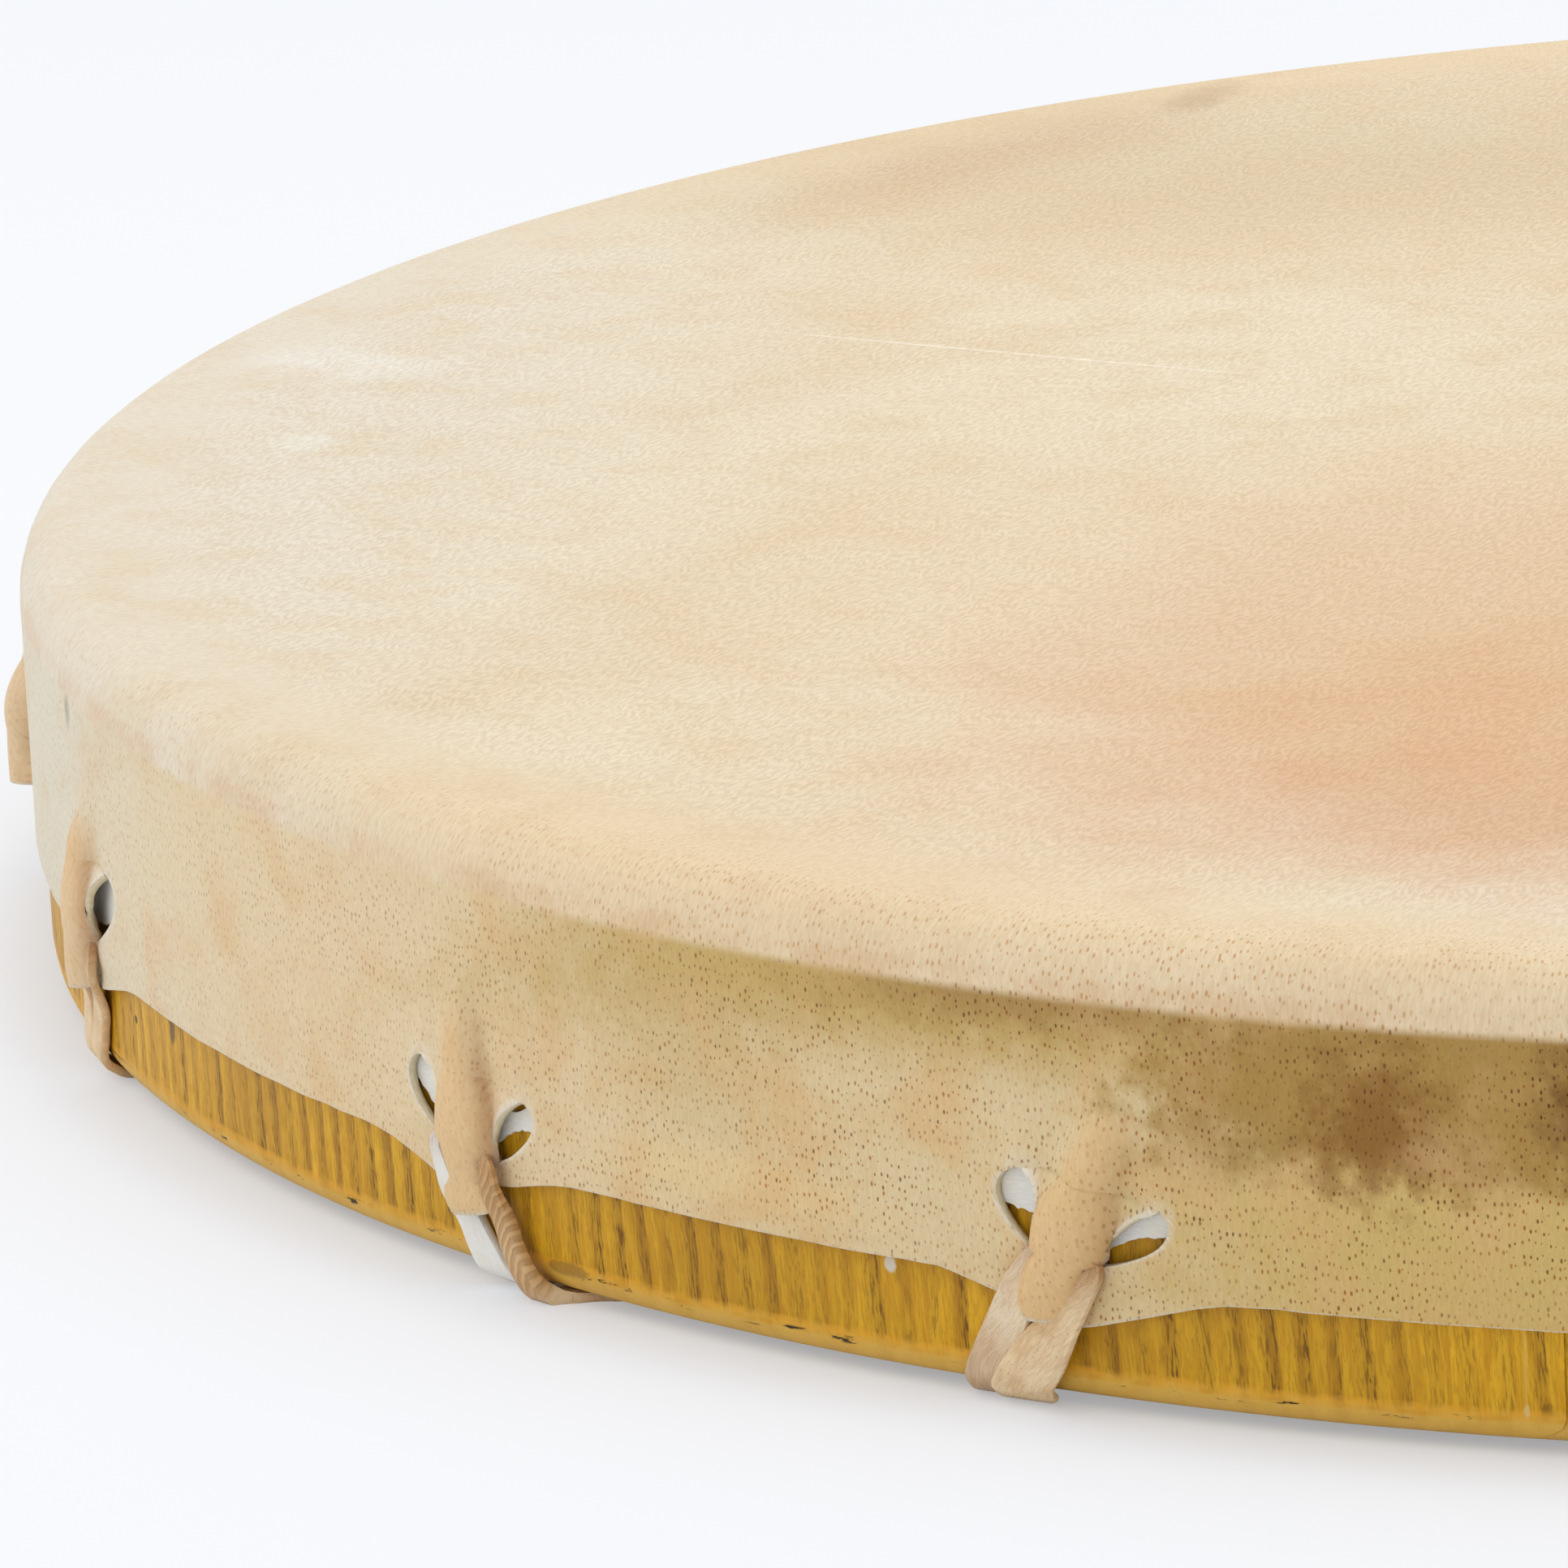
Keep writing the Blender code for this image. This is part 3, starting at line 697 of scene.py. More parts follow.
@dataclass(frozen=True)
class FleshSide:
    """The skin's inner side and cut edges: pale, dry and fibrous."""

    name: str
    pale: str = "E9E2D0"
    warm: str = "D9C8A2"

    def material(self) -> bpy.types.Material:
        """Builds the material."""
        b = Finish(self.name)
        place = b.object_place()
        fibres = b.place(EFFECTS.strokes, Vector=place, Turn=0.4, Across=2600.0, Along=900.0, Wave=1.5)
        cloud = b.noise(place, 55.0, 4.0, 0.6)
        colour = b.mix(b.fade(cloud, 0.38, 0.78, 0.0, 0.60), self.pale, self.warm)
        tone = b.mix(b.fade(fibres.outputs["Tone"], 0.3, 0.7), (0.88, 0.87, 0.84, 1.0), (1.0, 1.0, 1.0, 1.0))
        colour = b.mix(1.0, colour, tone, "MULTIPLY")
        b.set(Base_Color=colour, Roughness=b.fade(fibres.outputs["Tone"], 0.3, 0.7, 0.68, 0.82))
        return b.bump(fibres.outputs["Height"], 0.4, 0.00020)


@dataclass(frozen=True)
class LaceHide:
    """Flat rawhide thong: a tan hair side, a pale flesh side and brown, damp-darkened turns."""

    hair: str = "EFD6AE"
    hair_dark: str = "DCB686"
    flesh: str = "EFEEE8"
    stain: str = "A0672C"

    def material(self) -> bpy.types.Material:
        """Builds the material."""
        b = Finish("rawhide_thong")
        run = b.laid("run")
        side = b.attribute("flesh")
        damp = b.attribute("damp")
        fibres = b.place(EFFECTS.strokes, Vector=run, Turn=math.radians(12), Across=3800.0, Along=650.0, Wave=0.7)
        cloud = b.noise(run, 160.0, 4.0, 0.6)
        hair = b.mix(b.fade(cloud, 0.38, 0.70), self.hair, self.hair_dark)
        flesh = b.mix(b.fade(cloud, 0.45, 0.75, 0.0, 0.45), self.flesh, "EBE0C6")
        colour = b.mix(side, hair, flesh)
        streak = b.mix(b.fade(fibres.outputs["Height"], 0.35, 0.62), (0.80, 0.76, 0.69, 1.0), (1.08, 1.08, 1.08, 1.0))
        depth = b.minus(0.55, b.times(side, 0.35))
        colour = b.mix(depth, colour, b.mix(1.0, colour, streak, "MULTIPLY"))
        pores = b.place(EFFECTS.pores, Vector=run, Spacing=0.0009, Drawn_Out=1.2, Size=0.11)
        dots = b.times(pores.outputs["Mask"], b.minus(0.7, b.times(side, 0.7)))
        colour = b.mix(b.times(dots, 0.5), colour, "9A6A3A")
        dark = b.times(damp, b.fade(fibres.outputs["Tone"], 0.25, 0.7, 1.0, 0.55))
        colour = b.mix(dark, colour, self.stain)
        rope = b.attribute("rope")
        along, across, _ = b.split(run)
        slant = b.plus(b.times(along, 4700.0), b.times(across, 4200.0))
        groove = b.fade(b.math("SINE", b.plus(slant, b.times(cloud, 9.0))), -0.9, 0.6)
        twist = b.times(rope, b.minus(1.0, groove))
        colour = b.mix(b.times(rope, 0.65), colour, "D2A468")
        # Painted shade in the grooves of the twisted cord.
        colour = b.mix(b.times(twist, 0.34), colour, "8A5626")
        b.set(Base_Color=colour, Roughness=b.minus(0.58, b.times(rope, 0.22)), Specular_IOR_Level=0.4)
        relief = b.minus(fibres.outputs["Height"], b.times(twist, 1.6))
        return b.bump(relief, 0.6, 0.00022)


@dataclass(frozen=True)
class StainedVeneer:
    """Yellow-ochre stained ash veneer, paler and brighter on the rounded lower edge."""

    name: str
    strength: float = 1.0
    edge: str = "E6B246"
    bare: str = "E6CE94"

    def material(self) -> bpy.types.Material:
        """Builds the material."""
        b = Finish(self.name)
        run = b.laid("wrap")
        along, up, _ = b.split(run)
        wood = b.place(EFFECTS.veneer, Vector=run, Strength=self.strength)
        ragged = b.times(b.noise(run, 420.0, 3.0, 0.6), 0.0012)
        low = b.fade(b.plus(up, ragged), 0.0046, 0.0034)
        edge = b.mix(b.fade(b.noise(run, 300.0, 3.0), 0.4, 0.7), self.edge, "D69C2E")
        colour = b.mix(b.times(low, 0.85), wood.outputs["Color"], edge)
        chip = b.fade(b.noise(b.vector("MULTIPLY", run, (160.0, 900.0, 1.0)), 1.0, 4.0, 0.7), 0.58, 0.63)
        wavy = b.plus(up, b.times(b.noise(run, 90.0, 3.0), 0.0008))
        paint = b.times(b.fade(wavy, 0.0044, 0.0040), b.fade(wavy, 0.0033, 0.0036))
        paint = b.times(paint, b.fade(b.noise(run, 380.0, 4.0, 0.7), 0.38, 0.60))
        colour = b.mix(b.times(paint, 0.50), colour, "EBA92C")
        worn = b.fade(wavy, 0.0031, 0.0027)
        colour = b.mix(b.times(worn, 0.55), colour, "DDB75C")
        line = b.times(b.fade(wavy, 0.0034, 0.0031), b.fade(wavy, 0.0023, 0.0027))
        colour = b.mix(b.times(chip, line), colour, "3A2A16")
        for middle, half, colour_code, strength in self._scars():
            spot = b.place(
                EFFECTS.spot, Vector=run, Middle=(*middle, 0.0), Half_Size=(*half, 1.0),
                Ragged=0.9, Grain=900.0, Inner=0.6,
            )
            colour = b.mix(b.times(spot.outputs[0], strength), colour, colour_code)
        b.set(Base_Color=colour, Roughness=b.fade(wood.outputs["Pores"], 0.0, 1.0, 0.42, 0.62), Specular_IOR_Level=0.22)
        return b.bump(wood.outputs["Height"], 0.35, 0.00016)

    def _scars(self) -> tuple[tuple[Pair, Pair, str, float], ...]:
        """Small chips and a knot, by their place round from the seam and up from the lower edge."""
        return (
            ((-0.0729, 0.0116), (0.0010, 0.0010), "DAD2C4", 0.9),
            ((-0.2036, 0.0115), (0.0011, 0.0020), "5A4220", 0.8),
            ((-0.2170, 0.0093), (0.0006, 0.0006), "3A2A16", 0.9),
            ((-0.1194, 0.0030), (0.0040, 0.0010), "6E5430", 0.5),
            ((-0.0006, 0.0095), (0.00022, 0.0080), "E0B85A", 0.55),
            ((-0.0006, 0.0037), (0.0004, 0.0009), self.bare, 0.50),
        )


@dataclass(frozen=True)
class PoplarCore:
    """The pale middle ply, seen at the hoop's edges only."""

    light: str = "C99B55"
    dark: str = "A87A3A"

    def material(self) -> bpy.types.Material:
        """Builds the material."""
        b = Finish("poplar_ply")
        place = b.laid("wrap")
        grain = b.noise(b.vector("MULTIPLY", place, (90.0, 2600.0, 1.0)), 1.0, 4.0, 0.6)
        colour = b.mix(b.fade(grain, 0.35, 0.68), self.light, self.dark)
        b.set(Base_Color=colour, Roughness=b.fade(grain, 0.3, 0.7, 0.58, 0.72))
        return b.bump(grain, 0.3, 0.00015)


@dataclass(frozen=True)
class SuedeStrip:
    """Brown suede, worn paler on its raised turns."""

    nap: str = "6E4A2C"
    worn: str = "9A7148"

    def material(self) -> bpy.types.Material:
        """Builds the material."""
        b = Finish("brown_suede")
        place = b.object_place()
        nap = b.place(EFFECTS.strokes, Vector=place, Turn=0.7, Across=3200.0, Along=1500.0, Wave=2.5)
        cloud = b.noise(place, 120.0, 4.0, 0.65)
        raised = b.attribute("raised")
        worn = b.times(raised, b.fade(cloud, 0.35, 0.65, 0.3, 1.0))
        colour = b.mix(worn, self.nap, self.worn)
        tone = b.mix(b.fade(nap.outputs["Tone"], 0.3, 0.7), (0.72, 0.70, 0.68, 1.0), (1.15, 1.13, 1.10, 1.0))
        colour = b.mix(1.0, colour, tone, "MULTIPLY")
        rough = b.fade(nap.outputs["Tone"], 0.3, 0.7, 0.82, 0.94)
        b.set(Base_Color=colour, Roughness=rough, Sheen_Weight=0.25, Sheen_Roughness=0.5)
        return b.bump(nap.outputs["Height"], 0.6, 0.00020)


@dataclass(frozen=True)
class WornSteel:
    """Plain steel wire, dulled by hands."""

    bright: str = "B9B5AC"
    dull: str = "8C877D"

    def material(self) -> bpy.types.Material:
        """Builds the material."""
        b = Finish("worn_steel")
        place = b.object_place()
        haze = b.noise(place, 240.0, 4.0, 0.6)
        scuff = b.noise(b.vector("MULTIPLY", place, (300.0, 300.0, 2600.0)), 1.0, 3.0)
        b.set(
            Base_Color=b.mix(b.fade(haze, 0.35, 0.7), self.bright, self.dull),
            Roughness=b.fade(b.plus(haze, b.times(scuff, 0.4)), 0.5, 0.95, 0.28, 0.48), Metallic=1.0,
        )
        return b.bump(scuff, 0.15, 0.00008)


@dataclass(frozen=True)
class PaleGround:
    """The pale floor, almost white."""

    colour: str = "F3F7FF"
    distant: str = "E9EEF6"
    glow: float = 0.66

    def material(self) -> bpy.types.Material:
        """Builds the material."""
        b = Finish("pale_ground")
        place = b.object_place()
        speck = b.fade(b.noise(place, 420.0, 2.0), 0.79, 0.82)
        colour = b.mix(b.times(speck, 0.15), self.colour, "B8B8B8")
        far = b.fade(b.vector("DOT_PRODUCT", place, (-0.574, 0.819, 0.0)), 0.1, 1.0)
        b.set(Base_Color=b.mix(far, colour, self.distant))
        b.set(Roughness=0.9, Specular_IOR_Level=0.1)
        # Some of its own light towards the camera keeps the shadow as faint as on a lit table
        glow = b.add("Emission")
        b.feed(glow.inputs["Color"], "F9FAFC")
        both = b.add("MixShader")
        clear = b.fade(b.vector("LENGTH", place), 0.249, 0.264, 0.55 * self.glow, self.glow)
        b.feed(both.inputs[0], b.times(b.add("LightPath").outputs["Is Camera Ray"], clear))
        b.feed(both.inputs[1], b.shader.outputs[0])
        b.feed(both.inputs[2], glow.outputs[0])
        b.feed(b.tree.nodes["Material Output"].inputs[0], both.outputs[0])
        return b.made


# Mesh building


def new_object(name: str, data: bpy.types.ID) -> bpy.types.Object:
    """A new object in the scene, at the origin."""
    made = bpy.data.objects.new(name, data)
    bpy.context.scene.collection.objects.link(made)
    return made


def new_mesh(shape: bmesh.types.BMesh, name: str, materials: Sequence[bpy.types.Material]) -> bpy.types.Mesh:
    """Turns a shape into a mesh with its materials, and frees the shape."""
    mesh = bpy.data.meshes.new(name)
    shape.to_mesh(mesh)
    shape.free()
    for material in materials:
        mesh.materials.append(material)
    return mesh


def finish_piece(shape: bmesh.types.BMesh, name: str, node: str,
                 materials: Sequence[bpy.types.Material], smooth_angle: float = 50.0) -> bpy.types.Object:
    """Turns a shape into a piece of the drum that stands for a solid and rides on its body.

    Args:
        shape: The shape, which is freed.
        name: The piece's name.
        node: The name of the solid that it replaces.
        materials: Its materials in order.
        smooth_angle: The angle in degrees above which an edge stays sharp.

    Returns:
        The new object.
    """
    mesh = new_mesh(shape, name, materials)
    mesh.shade_smooth()
    mesh.set_sharp_from_angle(angle=math.radians(smooth_angle))
    made = new_object(name, mesh)
    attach(made, "root")
    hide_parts(node)
    LOG.info("%s: %d faces, for %s", name, len(mesh.polygons), node)
    return made


def turn_profile(shape: bmesh.types.BMesh, points: Sequence[Vector], closed: bool, steps: int, sweep: float,
                 tags: Sequence[int] = (), layer: Optional[object] = None) -> tuple[list, list]:
    """Turns a profile about the drum's axis.

    Args:
        shape: The shape that it is added to.
        points: The profile's points.
        closed: Whether the profile is a closed loop.
        steps: How many even steps the sweep has.
        sweep: The whole angle, which is joined to its start when it is a full turn.
        tags: A number for each point.
        layer: The vertex layer that the numbers go into.

    Returns:
        The vertices at the start and those at the end.
    """
    verts = [shape.verts.new(point) for point in points]
    for vert, tag in zip(verts, tags):
        vert[layer] = tag
    pairs = list(zip(verts, verts[1:]))
    if closed:
        pairs.append((verts[-1], verts[0]))
    edges = [shape.edges.new(pair) for pair in pairs]
    spun = bmesh.ops.spin(
        shape, geom=verts + edges, cent=(0, 0, 0), axis=(0, 0, 1), angle=sweep, steps=steps,
        use_merge=abs(sweep - math.tau) < 1e-9,
    )
    return verts, [item for item in spun["geom_last"] if isinstance(item, bmesh.types.BMVert)]


def loft(rings: Sequence[Sequence[Vector]]) -> bmesh.types.BMesh:
    """Lays a grid of faces over rings of points, with its first column met again by its last.

    Args:
        rings: The rings in order, all with the same number of points.

    Returns:
        The shape, whose vertices are in the rings' order and still to be welded.
    """
    shape = bmesh.new()
    count = len(rings[0])
    bmesh.ops.create_grid(shape, x_segments=count, y_segments=len(rings) - 1, size=1.0)
    for index, vert in enumerate(shape.verts):
        row, column = divmod(index, count + 1)
        vert.co = rings[row][column % count]
    return shape


def weld(shape: bmesh.types.BMesh) -> None:
    """Welds a lofted tube along its seam, caps its ends and turns its faces outward."""
    bmesh.ops.remove_doubles(shape, verts=shape.verts, dist=1e-7)
    bmesh.ops.holes_fill(shape, edges=[edge for edge in shape.edges if edge.is_boundary], sides=0)
    bmesh.ops.recalc_face_normals(shape, faces=shape.faces)


def swing(first: float, second: float) -> float:
    """The turn from the second angle to the first, between minus and plus half a turn."""
    return (first - second + math.pi) % math.tau - math.pi


class Hoop:
    """The bent hoop: three plies, each with a slanted seam where its ends meet."""

    steps: int = 288
    seam_gap: float = 0.00025
    seam_slope: float = math.radians(20)
    first_seam: float = math.radians(-69.05)
    corner_steps: int = 7

    def underside(self, radius: float) -> float:
        """Height of the hoop's lower surface above the ground at a radius."""
        inside = SIZES.hoop_radius - SIZES.hoop_wall + SIZES.foot_round
        outside = SIZES.hoop_radius - SIZES.foot_round
        reach = min(max(radius - outside, inside - radius, 0.0), SIZES.foot_round)
        return SIZES.ground_to_hoop + SIZES.foot_round - math.sqrt(SIZES.foot_round**2 - reach**2)

    def upside(self, radius: float) -> float:
        """Height of the hoop's upper surface above the ground at a radius."""
        crown = min(max((radius - SIZES.hoop_radius) / SIZES.crown_width + 1, 0.0), 1.0)
        inner = min(max(SIZES.hoop_radius - SIZES.hoop_wall + SIZES.inner_round - radius, 0.0) / SIZES.inner_round, 1.0)
        drop = SIZES.crown_drop * (1 - math.sqrt(1 - crown**2))
        top = SIZES.ground_to_hoop + SIZES.hoop_height
        return top - drop - SIZES.inner_round * (1 - math.sqrt(1 - inner**2))

    def section(self, inside: float, outside: float) -> list[Vector]:
        """A ply's section, across its top, down its outer side and back below and up.

        Args:
            inside: The ply's inner radius.
            outside: Its outer radius.

        Returns:
            The section's points at an angle of nought.
        """
        shares = [0.5 - 0.5 * math.cos(math.pi * i / (self.corner_steps - 1)) for i in range(self.corner_steps)]
        radii = [blend(inside, outside, share) for share in shares]
        upper = [Vector((radius, 0, self.upside(radius))) for radius in radii]
        lower = [Vector((radius, 0, self.underside(radius))) for radius in reversed(radii)]
        down, back = (
            [start.lerp(end, share) for share in (0.25, 0.5, 0.75)]
            for start, end in ((upper[-1], lower[0]), (lower[-1], upper[0]))
        )
        return upper + down + lower + back

    def build_ply(self, number: int, name: str, material: bpy.types.Material) -> bpy.types.Object:
        """Builds one ply.

        Args:
            number: Its place from the outside in, from nought.
            name: Its name and its solid's.
            material: Its material.

        Returns:
            The ply's object.
        """
        outside = SIZES.hoop_radius - number * (SIZES.ply + SIZES.fit_gap)
        inside = outside - SIZES.ply
        middle = (inside + outside) / 2
        seam = self.first_seam + number * math.tau / SIZES.plies
        half_gap = self.seam_gap / 2 / math.sin(self.seam_slope) / middle
        shape = bmesh.new()
        turned = Matrix.Rotation(seam + half_gap, 3, "Z")
        points = [turned @ point for point in self.section(inside, outside)]
        for end in turn_profile(shape, points, True, self.steps, math.tau - 2 * half_gap):
            bmesh.ops.contextual_create(shape, geom=end)
            for vert in end:
                lean = (vert.co.xy.length - middle) / math.tan(self.seam_slope) / middle
                vert.co = Matrix.Rotation(lean, 3, "Z") @ vert.co
        bmesh.ops.recalc_face_normals(shape, faces=shape.faces)
        self._wrap(shape, seam)
        return finish_piece(shape, name + "_veneer", name, [material], 35)

    @staticmethod
    def _wrap(shape: bmesh.types.BMesh, seam: float) -> None:
        """Lays the pattern's coordinates round the ply from its seam and up it, in metres."""
        laid = shape.loops.layers.uv.new("wrap")
        for face in shape.faces:
            centre = face.calc_center_median()
            middle = math.atan2(centre.y, centre.x)
            base = (middle - seam + math.pi / 2) % math.tau - math.pi / 2
            base -= math.tau * (base > math.pi)
            for loop in face.loops:
                place = loop.vert.co
                turn = swing(math.atan2(place.y, place.x), middle)
                reach = place.xy.length
                up = place.z - SIZES.ground_to_hoop
                loop[laid].uv = ((base + turn) * SIZES.hoop_radius, up + (SIZES.hoop_radius - reach) * 0.2)

    def build(self) -> list[bpy.types.Object]:
        """Builds the three plies, the stained ones outside."""
        outer = StainedVeneer("stained_ash_outer").material()
        inner = StainedVeneer("stained_ash_inner", strength=0.8).material()
        core = PoplarCore().material()
        return [
            self.build_ply(0, "hoop_outer_ply", outer),
            self.build_ply(1, "hoop_core_ply", core),
            self.build_ply(2, "hoop_inner_ply", inner),
        ]


def read_table(table: Sequence[tuple[float, ...]], at: float) -> tuple[float, ...]:
    """Reads a table between its rows, on a smooth curve.

    Args:
        table: Rows that start with the place, in rising order.
        at: The place.

    Returns:
        The row's other numbers at that place, those of the end row beyond an end.
    """
    if at <= table[0][0]:
        return table[0][1:]
    if at >= table[-1][0]:
        return table[-1][1:]
    low = max(index for index, row in enumerate(table) if row[0] <= at)
    first, second = table[low], table[low + 1]
    before, after = table[max(low - 1, 0)], table[min(low + 2, len(table) - 1)]
    gap = second[0] - first[0]
    t = (at - first[0]) / gap
    found = []
    for column in range(1, len(first)):
        out = (second[column] - before[column]) / (second[0] - before[0]) * gap
        back = (after[column] - first[column]) / (after[0] - first[0]) * gap
        start, end = first[column], second[column]
        bend = (2 * t**3 - 3 * t**2 + 1) * start + (t**3 - 2 * t**2 + t) * out
        found.append(bend + (3 * t**2 - 2 * t**3) * end + (t**3 - t**2) * back)
    return tuple(found)


class Strand(Enum):
    """How a strand of lace leaves its slit."""

    FLAT = "flat, hair side out"
    PALE = "flat, flesh side out"
    TORN = "flat, with a fibrous face"
    ROPED = "twisted into a cord"


@dataclass(frozen=True)
class Slit:
    """One slit, as it is pulled open, in millimetres.

    Attributes:
        foot: The place and height of its lower end.
        top: The place and height of its upper end.
        width: How wide it stands open.
        brim: How far the tongue's edge is lifted off the hoop beside it.
    """

    foot: Pair
    top: Pair
    width: float = 3.8
    brim: float = 1.0


@dataclass(frozen=True)
class StrandPath:
    """A strand's way down from its slit, in millimetres.

    Attributes:
        kind: How it leaves the slit.
        rows: Its place, height and width at each step from the slit's foot down.
        front: How far it stands off the hoop below, where it laps over the strand beside it.
    """

    kind: Strand
    rows: tuple[tuple[float, float, float], ...]
    front: float = 0.0


@dataclass(frozen=True)
class LacingPoint:
    """One lacing point, in millimetres apart from its angle.

    Attributes:
        angle: Its angle about the drum's axis.
        slits: The left and the right slit.
        tongue: The tongue's height, left and right edges and lift, from its tip up to the slits' feet.
        strands: The left and the right strand of lace.
        hem_dips: The hem's height at the left and the right of the tongue.
        tip_slope: How much higher the tip's right end is than its middle.
        corner: How much of the tip's left corner is cut away.
        tilt: How much higher the fold stands at its right than at its middle.
        lean: How far the fold's crest moves to the right with each millimetre up.
        shade: How strongly the fold's right side is darkened with painted shade.
        fold_top: The height at which the fold has died away.
        top_share: The share of its lift that the fold still has at the slits' tops.
        back_low: Places and heights of the lower edge of the lace's pale back.
        back_high: Places and heights of its upper edge.
    """

    angle: float
    slits: tuple[Slit, Slit]
    tongue: tuple[tuple[float, float, float, float], ...]
    strands: tuple[StrandPath, StrandPath]
    hem_dips: Pair = (9.4, 9.4)
    tip_slope: float = 0.0
    corner: float = 0.0
    tilt: float = 0.0
    lean: float = 0.0
    shade: float = 0.25
    fold_top: float = 37.0
    top_share: float = 0.88
    back_low: tuple[Pair, ...] = ((-9.5, 20.4), (-4.5, 19.0), (0.0, 18.0), (4.5, 18.0), (9.5, 19.4))
    back_high: tuple[Pair, ...] = ((-9.5, 25.4), (0.0, 26.0), (9.5, 24.4))

    def slit(self, side: int) -> Slit:
        """The slit on a side, where the left one is -1."""
        return self.slits[side > 0]

    def dip(self, side: int) -> float:
        """The hem's height beside the tongue on a side."""
        return self.hem_dips[side > 0]

    def strand(self, side: int) -> StrandPath:
        """The strand that leaves by the slit on a side."""
        return self.strands[side > 0]


